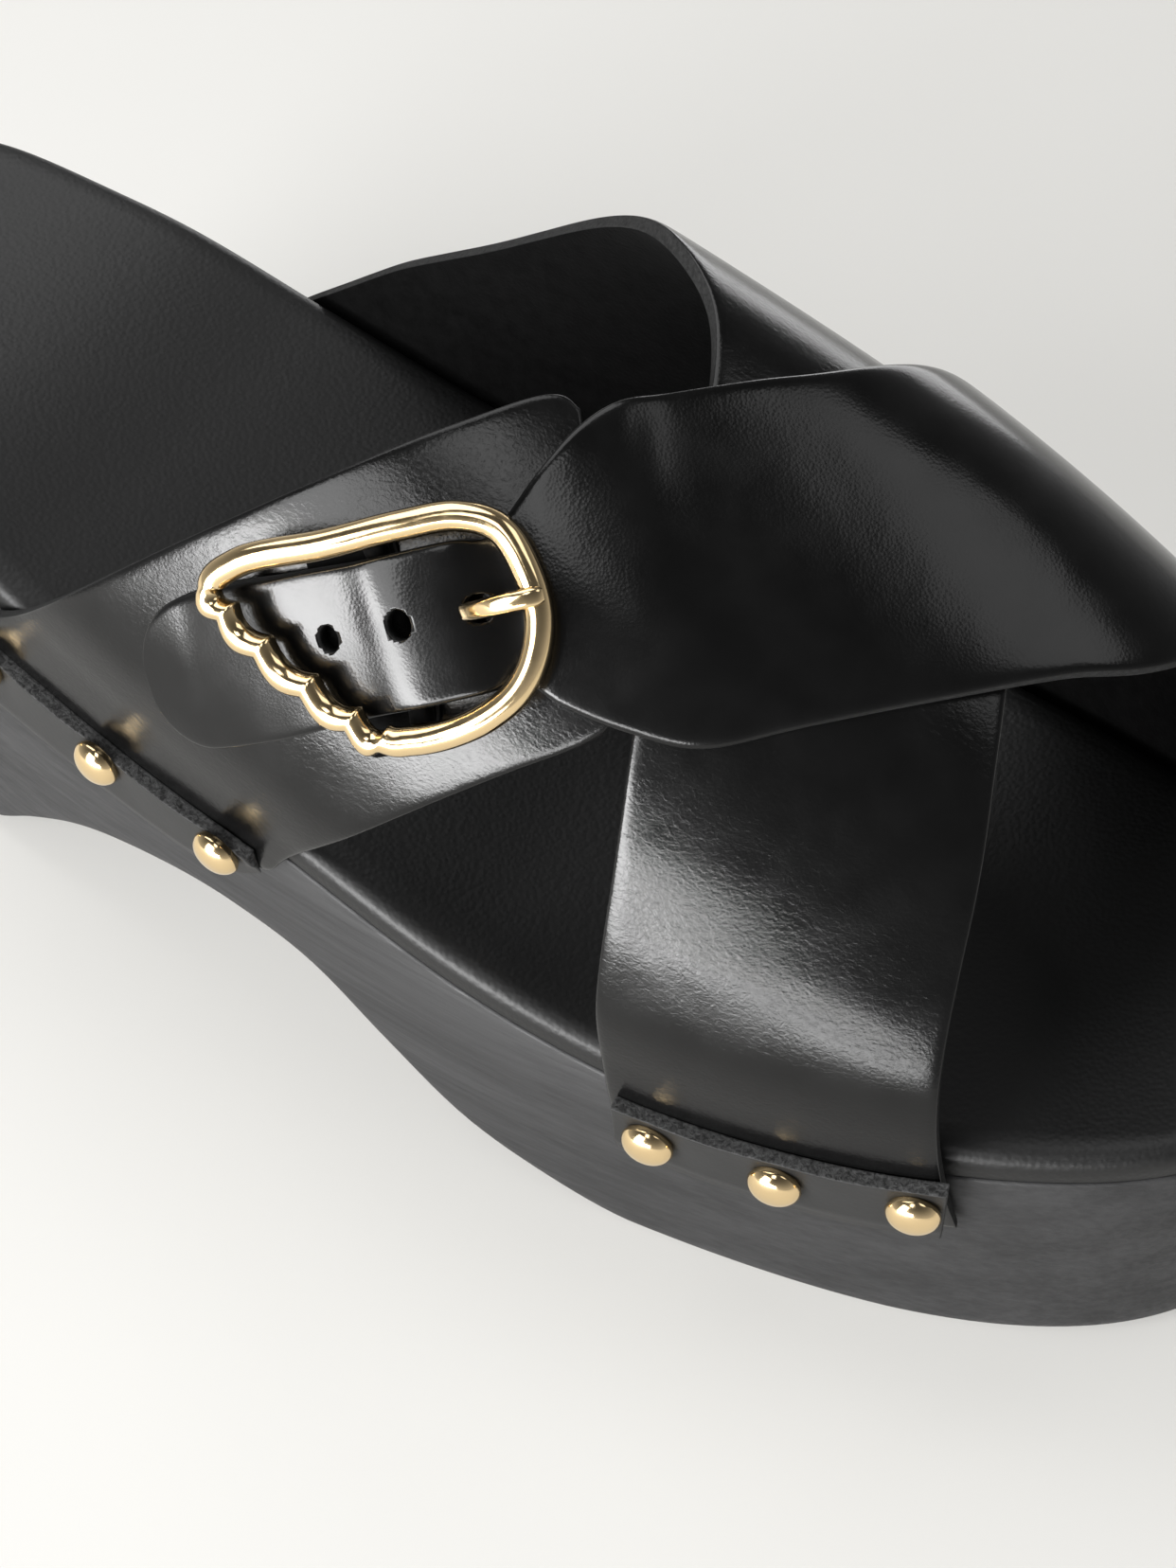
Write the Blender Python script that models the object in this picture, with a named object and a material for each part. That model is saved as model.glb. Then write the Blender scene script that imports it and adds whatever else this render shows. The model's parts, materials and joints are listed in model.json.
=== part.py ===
"""Studded cross-strap clog for the right foot, as separate named pieces.

The tables below are in millimetres, measured from the back of the heel (x) and the floor (z). The
wearer's right, the outer side of the foot, is at -y. build() moves the shoe over its own origin, at
the middle of its footprint on the floor, and writes metres. +X points to the toe and +Z up.

Straps are drawn on the last: the place of a point on it is x along the foot and s, the distance round
the foot from its crown, negative on the outer side. Below the rim the last drops straight down beside
the sole, which is where the strap ends are nailed.
"""

import bmesh
import bpy
import numpy as np

MM = 0.001
GAP = 0.3

LENGTH = 250.0
HALF_WIDTH = 43.0
MID = (125.0, 1.56)
PLAN_STATIONS = 53
END_FLAT = 0.25

# Plan of the sole and the insole, clockwise from the back of the heel, seen from above.
OUTLINE = (
    (0.0, 0.0), (3.5, -14.0), (15.0, -25.0), (42.0, -33.0), (100.0, -40.5), (160.0, -42.2), (215.0, -30.7),
    (241.0, -15.5), (250.0, 2.0), (240.0, 27.0), (215.0, 40.0), (178.0, 45.0), (112.0, 38.0), (42.0, 28.5),
    (15.0, 23.5), (3.5, 13.5),
)
# Height of the top of the wood along the foot.
SEAM_X = (0, 25, 50, 75, 100, 125, 150, 175, 200, 225, 250)
SEAM_Z = (72.3, 70.9, 66.8, 58.5, 50.6, 44.9, 38.4, 33.9, 33.8, 36.6, 40.9)
# Height of the underside: flat heel, arch, flat forefoot, toe spring.
UNDER_X = (0, 50, 56, 65, 78, 92, 110, 124, 136, 148, 160, 174, 180, 210, 222, 236, 250)
UNDER_Z = (0, 0, 3.0, 10.0, 18.3, 23.3, 25.6, 23.3, 15.6, 7.6, 3.2, 0, 0, 0, 0.5, 2.2, 5.0)
# Wall of the wooden block: inset from the outline, and height above the underside or below the top.
FOOT_INSETS = ((3.0, 0.0), (1.7, 0.9), (1.2, 2.8))
WALL_STRAIGHT = 13.0
HEEL_RAKE = 4.0
HEEL_RAKE_REACH = 60.0

# Insole cover: inset from the outline and height above the wood.
INSOLE_EDGE = ((0.3, GAP), (0.25, 2.6), (0.9, 4.0), (3.0, 4.8))
INSOLE_DISH = 1.6

# Crown of the last, inside the straps, and the form of its cross-section.
CROWN_X = (60, 90, 120, 150, 180, 210, 240)
CROWN_Z = (132.0, 124.5, 116.5, 106.5, 94.5, 80.5, 65.5)
CROWN_INWARD = 12.0
OUTER_POWER = 2.0
INNER_POWER = 2.5

LEATHER = 2.2
SKIVED = 1.2
TUCK = 6.0

OUTER, INNER = -1, 1

# Lower strap, from the outer front to the inner rear.
# Columns: rear edge x, rear edge s, front edge x, front edge s.
LOWER_STRAP = (
    (170.7, -79.0, 211.3, -56.0),
    (168.2, -59.0, 207.0, -35.5),
    (165.2, -44.0, 202.0, -21.5),
    (159.0, -18.0, 195.5, -6.0),
    (149.5, 3.0, 186.5, 15.0),
    (134.0, 17.5, 171.0, 33.0),
    (111.0, 41.0, 150.0, 56.0),
    (96.0, 55.0, 134.0, 69.0),
)
# Feet of a strap: rear and front x at the rim, and at the nailed end below it.
LOWER_FEET = ((172.8, 215.0, 174.0, 217.0), (68.3, 123.0, 63.5, 121.0))

# Upper strap, from the inner front to the shoulder of its tab.
# Columns as above, then the height of its inner face over the last.
UPPER_STRAP = (
    (178.0, 46.0, 221.0, 24.0, 2.4),
    (171.5, 20.5, 212.0, 1.0, 4.2),
    (165.0, 7.0, 203.0, -9.5, 3.6),
    (157.5, -2.0, 193.0, -20.6, 2.3),
    (151.0, -9.5, 181.5, -32.5, 1.7),
    (147.0, -14.0, 173.0, -40.6, 2.5),
    (144.8, -19.0, 164.5, -44.0, 2.6),
    (143.6, -25.0, 157.0, -45.6, 2.6),
)
UPPER_FEET = (181.0, 224.0, 182.5, 225.5)

# Tab of the upper strap through the buckle, from the shoulder to its rounded end.
# Columns: distance from the centre bar, half width, height of its inner face over the last.
TAB = (
    (17.0, 7.7, 2.6),
    (12.5, 7.6, 4.3),
    (7.0, 7.6, 5.0),
    (2.5, 7.6, 5.2),
    (-1.5, 7.7, 4.0),
    (-6.0, 8.0, 2.6),
    (-18.0, 8.7, 2.5),
    (-30.0, 8.7, 2.5),
    (-34.0, 7.4, 2.5),
    (-36.4, 5.0, 2.5),
    (-37.4, 2.2, 2.5),
)

# Buckle strap on the outer rear side.
# Columns: rear edge x, rear edge s, front edge x, front edge s.
BUCKLE_STRAP = (
    (80.0, -84.5, 126.0, -90.3),
    (101.0, -61.5, 141.5, -71.0),
    (119.0, -41.8, 153.0, -57.3),
    (132.4, -26.0, 160.5, -48.5),
    (140.0, -17.0, 162.6, -43.6),
    (144.0, -16.6, 160.4, -38.0),
)
BUCKLE_STRAP_FEET = (71.0, 121.5, 65.5, 120.0)

# Rand strips: heights over the seam, of the top edge at the rear and the front end, then of the bottom edge.
FRONT_RAND = (2.5, 4.0, -8.5, -9.5)
REAR_RAND = (-4.4, 3.2, -19.0, -8.5)
RAND_THICK = 2.2
# Step of the strip over the end of the strap: offset from the wall of the wood and height over the seam.
RAND_STEP = ((0.4, -7.4), (2.0, -6.4))
RAND_LEAN = 0.124
# Softened foot of the strip: offset from the wall and height over its bottom edge.
RAND_FOOT = ((2.8, 0.0), (3.5, 2.1), (4.2, 3.5))
RAND_BEVEL = 0.2
STUD_DROP = 3.5
STUD_PROFILE = ((3.6, 0.0), (3.5, 0.8), (2.9, 1.75), (1.7, 2.5))
STUD_TOP = 2.75
STUDS_EACH = 3
STUD_MARGIN = 0.12

# Buckle: its middle on the last, the run of the tab there, and its bars.
BUCKLE_AT = (133.5, -50.0)
TAB_RUN = (0.76, 0.65)
TAB_SHIFT = -0.9
FRAME_RADIUS = 1.85
# Centreline of the frame, apart from its scalloped side: along the tab, across it, height over the last.
FRAME_BOW = (
    (-17.8, 8.1, 8.1), (-13.8, 9.7, 8.0), (-2.3, 9.2, 7.8), (7.2, 9.2, 7.4), (14.0, 8.8, 7.05),
    (18.4, 6.7, 7.05), (20.6, 2.0, 7.05), (21.0, -2.6, 7.05), (19.4, -6.6, 7.05), (16.7, -9.3, 7.05),
    (12.6, -11.1, 7.2), (7.5, -12.0, 7.5), (2.5, -11.9, 7.8), (-1.0, -11.0, 8.0),
)
SCALLOPS = 5
SCALLOP_DEPTH = 1.5
BAR_RADIUS = 1.1
BAR_ALONG = 2.5
# Hidden centre bar: across the tab, height over the last.
CENTRE_BAR = ((8.9, 7.0), (8.4, 4.8), (6.4, 3.7), (0.0, 3.65), (-8.0, 3.7), (-11.0, 4.8), (-12.1, 7.2))
# Prong: along the tab, height over the last.
PRONG = ((4.1, 3.6), (8.0, 3.65), (11.0, 4.5), (14.0, 7.4), (17.0, 9.6), (20.4, 10.25), (22.0, 9.9))
PRONG_RADIUS = 1.0
PRONG_SLOT = ((8.2, 16.4), 2.0)


def ease(xs, ys, x):
    """Smooth curve through a table, read at x."""
    xs, ys = np.asarray(xs, float), np.asarray(ys, float)
    x = np.clip(np.asarray(x, float), xs[0], xs[-1])
    slope = np.gradient(ys, xs)
    i = np.clip(np.searchsorted(xs, x, side="right") - 1, 0, len(xs) - 2)
    step = xs[i + 1] - xs[i]
    u = (x - xs[i]) / step
    start = (1 + 2 * u) * (1 - u) ** 2 * ys[i] + u * (1 - u) ** 2 * step * slope[i]
    return start + u * u * (3 - 2 * u) * ys[i + 1] + u * u * (u - 1) * step * slope[i + 1]


def rounded(points, closed, each=16):
    """Smooth curve through points in a plane or in space, with the same number of steps in each stretch."""
    p = np.asarray(points, float)
    if not closed:
        p = np.vstack([2 * p[0] - p[1], p, 2 * p[-1] - p[-2]])
    stretches = range(len(p)) if closed else range(1, len(p) - 2)
    out = []
    for i in stretches:
        a, b, c, d = (p[(i + k) % len(p)] for k in (-1, 0, 1, 2))
        ab, bc, cd = (np.linalg.norm(q - r) ** 0.5 for q, r in ((b, a), (c, b), (d, c)))
        leave = ((b - a) / ab - (c - a) / (ab + bc) + (c - b) / bc) * bc
        arrive = ((c - b) / bc - (d - b) / (bc + cd) + (d - c) / cd) * bc
        for u in np.linspace(0, 1, each, endpoint=False):
            start = (1 + 2 * u) * (1 - u) ** 2 * b + u * (1 - u) ** 2 * leave
            out.append(start + u * u * (3 - 2 * u) * c + u * u * (u - 1) * arrive)
    if not closed:
        out.append(p[-2])
    return np.array(out)


def halves_of_outline():
    """Outer and inner side of the plan, each as points in order of x."""
    ring = rounded(OUTLINE, closed=True, each=24)
    toe = int(np.argmax(ring[:, 0]))
    sides = ring[:toe + 1], np.vstack([ring[toe:], ring[:1]])
    return [side[np.argsort(side[:, 0])] for side in sides]


OUTER_SIDE, INNER_SIDE = halves_of_outline()


def wall(x, side):
    """y of the wall of the sole at x."""
    line = OUTER_SIDE if side == OUTER else INNER_SIDE
    return np.interp(x, line[:, 0], line[:, 1])


def seam(x):
    """Height of the top of the wood at x."""
    return ease(SEAM_X, SEAM_Z, x)


def underside(x):
    """Height of the underside of the wood at x."""
    return np.maximum(ease(UNDER_X, UNDER_Z, x), 0.0)


def last_section(x, steps=120):
    """Cross-section of the last at x: y, z and the distance s from the crown."""
    outer, inner = wall(x, OUTER) - GAP, wall(x, INNER) + GAP
    base, crown = seam(x), ease(CROWN_X, CROWN_Z, x)
    ridge = (outer + inner) / 2 + CROWN_INWARD
    turn = np.linspace(-1, 1, steps + 1)
    power = 2 / np.where(turn < 0, OUTER_POWER, INNER_POWER)
    out = np.sin(np.abs(turn) * np.pi / 2) ** power
    up = np.clip(np.cos(turn * np.pi / 2), 0, 1) ** power
    y = ridge + np.where(turn < 0, outer - ridge, inner - ridge) * out
    z = base + (crown - base) * up
    s = np.concatenate([[0], np.cumsum(np.hypot(np.diff(y), np.diff(z)))])
    return y, z, s - s[steps // 2]


LAST_X = np.arange(50.0, 241.0, 1.0)
LAST = [last_section(x) for x in LAST_X]


def rim(x, side):
    """s where the last meets the top of the wood."""
    s = LAST[int(round(x - LAST_X[0]))][2]
    return s[0] if side == OUTER else s[-1]


def on_last(x, s):
    """Point of the last, straight down beside the sole below its rim."""
    at = np.clip(x - LAST_X[0], 0, len(LAST_X) - 1.001)
    first = int(at)
    found = []
    for y, z, way in LAST[first:first + 2]:
        below = max(way[0] - s, s - way[-1], 0.0)
        found.append((np.interp(s, way, y), np.interp(s, way, z) - below))
    y, z = np.array(found[0]) * (first + 1 - at) + np.array(found[1]) * (at - first)
    return np.array((x, y, z))


def over_last(x, s, height, reach=0.6):
    """Point at a height over the last, along its normal."""
    along = on_last(x + reach, s) - on_last(x - reach, s)
    round_foot = on_last(x, s + reach) - on_last(x, s - reach)
    normal = np.cross(along, round_foot)
    return on_last(x, s) + normal / np.linalg.norm(normal) * height


def buckle_place(along, across):
    """x and s of a point given along and across the tab, from the middle of the buckle."""
    run = np.array(TAB_RUN) / np.hypot(*TAB_RUN)
    return np.array(BUCKLE_AT) + along * run + across * np.array((-run[1], run[0]))


def add_object(name, points, faces, material):
    """Closed mesh from points in millimetres, faces turned outwards."""
    mesh = bpy.data.meshes.new(name)
    places = (np.asarray(points) - np.array((*MID, 0.0))) * MM
    mesh.from_pydata([tuple(p) for p in places], [], faces)
    form = bmesh.new()
    form.from_mesh(mesh)
    bmesh.ops.recalc_face_normals(form, faces=form.faces)
    bmesh.ops.triangulate(form, faces=form.faces)
    form.to_mesh(mesh)
    form.free()
    mesh.shade_smooth()
    mesh.set_sharp_from_angle(angle=np.radians(35))
    mesh.materials.append(material)
    piece = bpy.data.objects.new(name, mesh)
    bpy.context.collection.objects.link(piece)
    return piece


def slab(layers):
    """Points and faces of a solid from grids of points stacked bottom to top.

    The lowest and the highest grid are whole faces. Those between shape the side wall alone.
    """
    layers = [np.asarray(layer, float) for layer in layers]
    rows, columns = layers[0].shape[:2]
    edge = [(0, j) for j in range(columns)] + [(i, columns - 1) for i in range(1, rows)]
    edge += [(rows - 1, j) for j in range(columns - 2, -1, -1)] + [(i, 0) for i in range(rows - 2, 0, -1)]
    points, faces, loops = [], [], []
    for layer in layers:
        whole = layer is layers[0] or layer is layers[-1]
        start = len(points)
        if whole:
            points += list(layer.reshape(-1, 3))
            loops.append([start + i * columns + j for i, j in edge])
            for i in range(rows - 1):
                for j in range(columns - 1):
                    a = start + i * columns + j
                    faces.append((a, a + 1, a + columns + 1, a + columns))
        else:
            points += [layer[i, j] for i, j in edge]
            loops.append(list(range(start, start + len(edge))))
    for low, high in zip(loops, loops[1:]):
        for k in range(len(edge)):
            n = (k + 1) % len(edge)
            faces.append((low[k], low[n], high[n], high[k]))
    return points, faces


def tube(path, radius, closed, sides=10):
    """Points and faces of a round bar along a path."""
    path = np.asarray(path, float)
    ahead = np.roll(path, -1, 0) - np.roll(path, 1, 0)
    if not closed:
        ahead[0], ahead[-1] = path[1] - path[0], path[-1] - path[-2]
    ahead /= np.linalg.norm(ahead, axis=1)[:, None]
    up = over_last(*BUCKLE_AT, 1.0) - on_last(*BUCKLE_AT)
    points, faces = [], []
    for place, way in zip(path, ahead):
        across = np.cross(up, way)
        across /= np.linalg.norm(across)
        rise = np.cross(way, across)
        for turn in np.arange(sides) * 2 * np.pi / sides:
            points.append(place + radius * (np.cos(turn) * across + np.sin(turn) * rise))
    count = len(path)
    for i in range(count if closed else count - 1):
        for k in range(sides):
            a, b = i * sides + k, i * sides + (k + 1) % sides
            c, d = ((i + 1) % count) * sides + (k + 1) % sides, ((i + 1) % count) * sides + k
            faces.append((a, b, c, d))
    if not closed:
        faces.append(tuple(range(sides)))
        faces.append(tuple((count - 1) * sides + k for k in range(sides)))
    return points, faces


def boolean(piece, other, operation):
    """Joins another object to a piece, or cuts it out of it, and removes the other."""
    step = piece.modifiers.new(operation.lower(), "BOOLEAN")
    step.operation = operation
    step.object = other
    shape = piece.evaluated_get(bpy.context.evaluated_depsgraph_get())
    mesh = bpy.data.meshes.new_from_object(shape)
    piece.modifiers.clear()
    piece.data = mesh
    bpy.data.objects.remove(other)


def plan_grid(inset, height, columns, rake=0.0):
    """Grid over the plan of the sole, drawn in by an inset, at a height given by a function of x.

    The rake draws the back of the heel forwards.
    """
    half = LENGTH / 2
    small = np.arccos(1 - END_FLAT / half)
    grid = []
    for turn in np.linspace(small, np.pi - small, PLAN_STATIONS):
        full = half - half * np.cos(turn)
        x = half + (full - half) * (1 - inset / half)
        x += rake * max(0.0, 1 - full / HEEL_RAKE_REACH) ** 2
        outer, inner = wall(full, OUTER), wall(full, INNER)
        draw = (inner - outer) / 2 * inset / HALF_WIDTH
        sides = np.linspace(outer + draw, inner - draw, columns)
        grid.append([(x, y, height(x, across)) for y, across in zip(sides, np.linspace(-1, 1, columns))])
    return grid


def build_sole(material):
    """Wooden block with a flat heel and forefoot, arch, toe spring and softened lower edge."""
    layers = []
    for inset, up in FOOT_INSETS:
        layers.append(plan_grid(inset, lambda x, _, up=up: underside(x) + up, 5, HEEL_RAKE))
    layers.append(plan_grid(0.0, lambda x, _: seam(x) - WALL_STRAIGHT, 5))
    layers.append(plan_grid(0.0, lambda x, _: seam(x), 5))
    return add_object("sole", *slab(layers), material)


def build_insole(material):
    """Padded cover on the wood with a rolled edge, a little dished across and flat at heel and toe."""
    layers = [plan_grid(inset, lambda x, _, up=up: seam(x) + up, 7) for inset, up in INSOLE_EDGE[:-1]]
    inset, up = INSOLE_EDGE[-1]

    def dished(x, across):
        ends = (2 * x / LENGTH - 1) ** 6
        return seam(x) + up - INSOLE_DISH * (1 - across ** 2) * (1 - ends)

    layers.append(plan_grid(inset, dished, 7))
    return add_object("insole", *slab(layers), material)


def strap_feet(feet, side):
    """Two rows of a strap, at the rim and at the skived end below it."""
    rows = []
    for xs, drop in ((feet[:2], 0.0), (feet[2:], TUCK)):
        rows.append([v for x in xs for v in (x, rim(x, side) + side * drop)])
    return rows


def strap_solid(rows, heights, skived_rows, sections, columns=8):
    """Layers of a strap through rows of edge places, with its ends thinned where they are nailed."""
    rows, heights = np.asarray(rows, float), np.asarray(heights, float)
    thick = np.full(len(rows), LEATHER)
    for row in skived_rows:
        thick[row] = SKIVED
    step = np.arange(len(rows))
    reads = np.linspace(0, len(rows) - 1, sections)
    edges = np.array([ease(step, rows[:, k], reads) for k in range(4)]).T
    low, deep = ease(step, heights, reads), np.clip(ease(step, thick, reads), SKIVED, LEATHER)
    inner, outer = [], []
    for (rear_x, rear_s, front_x, front_s), lift, leather in zip(edges, low, deep):
        across = np.linspace(0, 1, columns)
        places = [(rear_x + (front_x - rear_x) * v, rear_s + (front_s - rear_s) * v) for v in across]
        inner.append([over_last(x, s, lift) for x, s in places])
        outer.append([over_last(x, s, lift + leather) for x, s in places])
    return [inner, outer]


def build_upper(material):
    """Both crossing straps as one piece, with the tab and its slot for the prong."""
    near, far = LOWER_FEET
    rows = strap_feet(near, OUTER)[::-1] + [list(row) for row in LOWER_STRAP] + strap_feet(far, INNER)
    last = len(rows) - 1
    lower = add_object("lower_strap", *slab(strap_solid(rows, np.zeros(len(rows)), (0, last), 34)), material)

    rows = strap_feet(UPPER_FEET, INNER)[::-1] + [list(row[:4]) for row in UPPER_STRAP]
    heights = [0.0, 0.0] + [row[4] for row in UPPER_STRAP]
    for along, half, height in TAB:
        rows.append([*buckle_place(along, TAB_SHIFT + half), *buckle_place(along, TAB_SHIFT - half)])
        heights.append(height)
    upper = add_object("upper", *slab(strap_solid(rows, heights, (0,), 54)), material)
    boolean(upper, lower, "UNION")

    (back, front), half = PRONG_SLOT
    ring = [buckle_place(a, TAB_SHIFT + b) for a, b in ((back, -half), (front, -half), (front, half), (back, half))]
    floor, top = ([[over_last(*ring[0], h), over_last(*ring[1], h)],
                   [over_last(*ring[3], h), over_last(*ring[2], h)]] for h in (1.0, 12.0))
    boolean(upper, add_object("slot", *slab([floor, top]), material), "DIFFERENCE")
    return upper


def build_buckle_strap(material):
    """Short strap that carries the buckle, from the outer rear to its rounded end under the upper strap."""
    rows = strap_feet(BUCKLE_STRAP_FEET, OUTER)[::-1] + [list(row) for row in BUCKLE_STRAP]
    layers = strap_solid(rows, np.zeros(len(rows)), (0,), 26)
    return add_object("buckle_strap", *slab(layers), material)


def beside_wall(x, side, offset):
    """Point in plan at an offset outwards from the wall of the sole, and the way outwards."""
    reach = 1.0
    slope = (wall(x + reach, side) - wall(x - reach, side)) / (2 * reach)
    out = np.array((-slope, 1.0)) * side / np.hypot(slope, 1.0)
    return np.array((x, wall(x, side))) + out * offset, out


def rand_profiles(share, heights):
    """Inner and outer face of a rand at a share of its length: offsets from the wall, heights over the seam."""
    top = heights[0] + (heights[1] - heights[0]) * share
    bottom = heights[2] + (heights[3] - heights[2]) * share
    close, clear = RAND_STEP
    lip = clear[0] + RAND_LEAN * (top - clear[1])
    inner = [(close[0], bottom), close, clear, (lip, top)]
    outer = [(offset, bottom + up) for offset, up in RAND_FOOT] + [(lip + RAND_THICK, top - RAND_BEVEL)]
    return inner, outer


def build_rand(name, feet, side, heights, material, stations=13):
    """Strip over the nailed end of a strap."""
    layers = [[], []]
    for share in np.linspace(0, 1, stations):
        x = feet[2] + (feet[3] - feet[2]) * share
        for grid, profile in zip(layers, rand_profiles(share, heights)):
            grid.append([(*beside_wall(x, side, offset)[0], seam(x) + up) for offset, up in profile])
    return add_object(name, *slab(layers), material)


def build_studs(name, feet, side, heights, material, turns=12):
    """Row of dome nails along a rand."""
    studs = []
    for number, share in enumerate(np.linspace(STUD_MARGIN, 1 - STUD_MARGIN, STUDS_EACH), 1):
        x = feet[2] + (feet[3] - feet[2]) * share
        (low_out, low_up), (high_out, high_up) = rand_profiles(share, heights)[1][-2:]
        slope = (high_out - low_out) / (high_up - low_up)
        lean = np.arctan(slope)
        rise = high_up - STUD_DROP
        stand = low_out + slope * (rise - low_up) + GAP
        base, out = beside_wall(x, side, stand)
        middle = np.array((*base, seam(x) + rise))
        along = np.array((out[1], -out[0], 0.0))
        outwards = np.array((*out * np.cos(lean), -np.sin(lean)))
        up = np.array((*out * np.sin(lean), np.cos(lean)))
        points, faces = [], []
        for radius, height in STUD_PROFILE:
            for turn in np.arange(turns) * 2 * np.pi / turns:
                spoke = np.cos(turn) * along + np.sin(turn) * up
                points.append(middle + outwards * height + spoke * radius)
        points.append(middle + outwards * STUD_TOP)
        faces.append(tuple(range(turns)))
        for ring in range(len(STUD_PROFILE) - 1):
            for k in range(turns):
                n = (k + 1) % turns
                faces.append((ring * turns + k, ring * turns + n, (ring + 1) * turns + n, (ring + 1) * turns + k))
        crown = len(points) - 1
        faces += [(crown - turns + k, crown - turns + (k + 1) % turns, crown) for k in range(turns)]
        studs.append(add_object(f"{name}_{number}", points, faces, material))
    return studs


def build_buckle(material):
    """Cast frame with a scalloped side and a hidden centre bar, and the prong that rests on it."""
    bow = rounded(FRAME_BOW, closed=False, each=3)
    start, end = bow[-1], bow[0]
    outwards = np.array((start[1] - end[1], end[0] - start[0], 0.0))
    outwards /= np.linalg.norm(outwards)
    side = []
    for u in np.linspace(0, 1, SCALLOPS * 5, endpoint=False)[1:]:
        side.append(start + (end - start) * u + outwards * SCALLOP_DEPTH * abs(np.sin(np.pi * SCALLOPS * u)))
    ring = [over_last(*buckle_place(a, b), height) for a, b, height in np.vstack([bow, side])]
    frame = add_object("buckle_frame", *tube(ring, FRAME_RADIUS, closed=True), material)
    bar = [over_last(*buckle_place(BAR_ALONG, across), height) for across, height in CENTRE_BAR]
    boolean(frame, add_object("bar", *tube(bar, BAR_RADIUS, closed=False), material), "UNION")
    path = rounded([(*buckle_place(a, TAB_SHIFT), h) for a, h in PRONG], closed=False, each=3)
    prong = tube([over_last(*place) for place in path], PRONG_RADIUS, closed=False)
    return [frame, add_object("buckle_prong", *prong, material)]


def finish(name, colour, roughness, metallic=0.0):
    """Material with one colour."""
    material = bpy.data.materials.new(name)
    material.use_nodes = True
    shader = material.node_tree.nodes["Principled BSDF"]
    shader.inputs["Base Color"].default_value = (*colour, 1.0)
    shader.inputs["Roughness"].default_value = roughness
    shader.inputs["Metallic"].default_value = metallic
    material.diffuse_color = (*colour, 1.0)
    return material


def build():
    """Every piece of the clog."""
    for old in list(bpy.data.objects):
        bpy.data.objects.remove(old)
    wood = finish("stained_wood", (0.035, 0.035, 0.037), 0.6)
    cover = finish("insole_leather", (0.016, 0.016, 0.017), 0.5)
    strap = finish("strap_leather", (0.01, 0.01, 0.011), 0.25)
    edging = finish("rand_leather", (0.03, 0.03, 0.032), 0.6)
    gold = finish("gold_plate", (0.80, 0.62, 0.33), 0.15, 1.0)
    build_sole(wood)
    build_insole(cover)
    build_upper(strap)
    build_buckle_strap(strap)
    ends = (
        ("outer_front", LOWER_FEET[0], OUTER, FRONT_RAND), ("outer_rear", BUCKLE_STRAP_FEET, OUTER, REAR_RAND),
        ("inner_front", UPPER_FEET, INNER, FRONT_RAND), ("inner_rear", LOWER_FEET[1], INNER, REAR_RAND),
    )
    for place, feet, side, heights in ends:
        build_rand(f"rand_{place}", feet, side, heights, edging)
        build_studs(f"stud_{place}", feet, side, heights, gold)
    build_buckle(gold)


build()
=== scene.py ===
"""Looks of a studded cross-strap clog for the right foot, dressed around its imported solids.

Sizes are in millimetres in the shoe's own frame: x from the back of the heel, z from the floor and the
outer side of the foot at -y. Meshes are written in metres over the part's origin, which is the middle
of the footprint.

Straps are drawn on the last: a place on it is x along the foot and s, the distance round the foot from
its crown, negative on the outer side. Below the rim the last drops straight down beside the wood.
"""

import json
import logging
import math
from dataclasses import dataclass
from enum import Enum
from functools import reduce

import bmesh
import bpy
import numpy as np
from mathutils import Matrix, Vector

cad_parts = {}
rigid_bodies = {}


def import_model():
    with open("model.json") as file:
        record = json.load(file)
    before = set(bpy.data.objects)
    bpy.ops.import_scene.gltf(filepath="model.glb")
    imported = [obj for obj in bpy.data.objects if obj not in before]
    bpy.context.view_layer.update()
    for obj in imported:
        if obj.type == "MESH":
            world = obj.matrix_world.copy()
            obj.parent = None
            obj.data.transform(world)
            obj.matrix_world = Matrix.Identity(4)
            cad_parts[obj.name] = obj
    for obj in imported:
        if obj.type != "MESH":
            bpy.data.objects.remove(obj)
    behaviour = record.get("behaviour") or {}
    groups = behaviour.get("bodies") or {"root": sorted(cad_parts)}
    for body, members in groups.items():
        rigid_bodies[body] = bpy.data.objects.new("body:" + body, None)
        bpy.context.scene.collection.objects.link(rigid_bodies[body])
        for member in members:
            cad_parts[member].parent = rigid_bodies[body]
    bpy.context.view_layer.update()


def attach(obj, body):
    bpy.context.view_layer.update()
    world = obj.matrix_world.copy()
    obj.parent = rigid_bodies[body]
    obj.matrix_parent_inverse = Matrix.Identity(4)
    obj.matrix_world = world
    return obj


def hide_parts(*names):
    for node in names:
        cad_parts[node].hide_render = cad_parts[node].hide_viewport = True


LOG = logging.getLogger("clog")

MM = 0.001
# Distance between pieces that meet in a curve.
GAP = 0.3
# Middle of the footprint, where the part's origin lies.
MID = np.array((125.0, 1.56, 0.0))
BODY = "root"

# Sockets of the Mix node when it mixes colours.
MIX_A, MIX_B, MIX_OUT = 6, 7, 2
# Where most values of a noise lie.
NOISE_LOW, NOISE_HIGH = 0.3, 0.7
# Faces that turn more than this at an edge keep it crisp.
CRISP = math.radians(50)
# What is left of a width at the end of a rounded tip.
TIP = 0.02

Row = tuple[float, ...]
Table = tuple[Row, ...]
Array = np.ndarray
Material = bpy.types.Material
Piece = bpy.types.Object


class Side(Enum):
    """Side of the foot, as the sign of y."""

    OUTER = -1
    INNER = 1


class Face(Enum):
    """Material slot of a face on a leather strip."""

    GRAIN = 0
    FLESH = 1
    EDGE = 2


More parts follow.
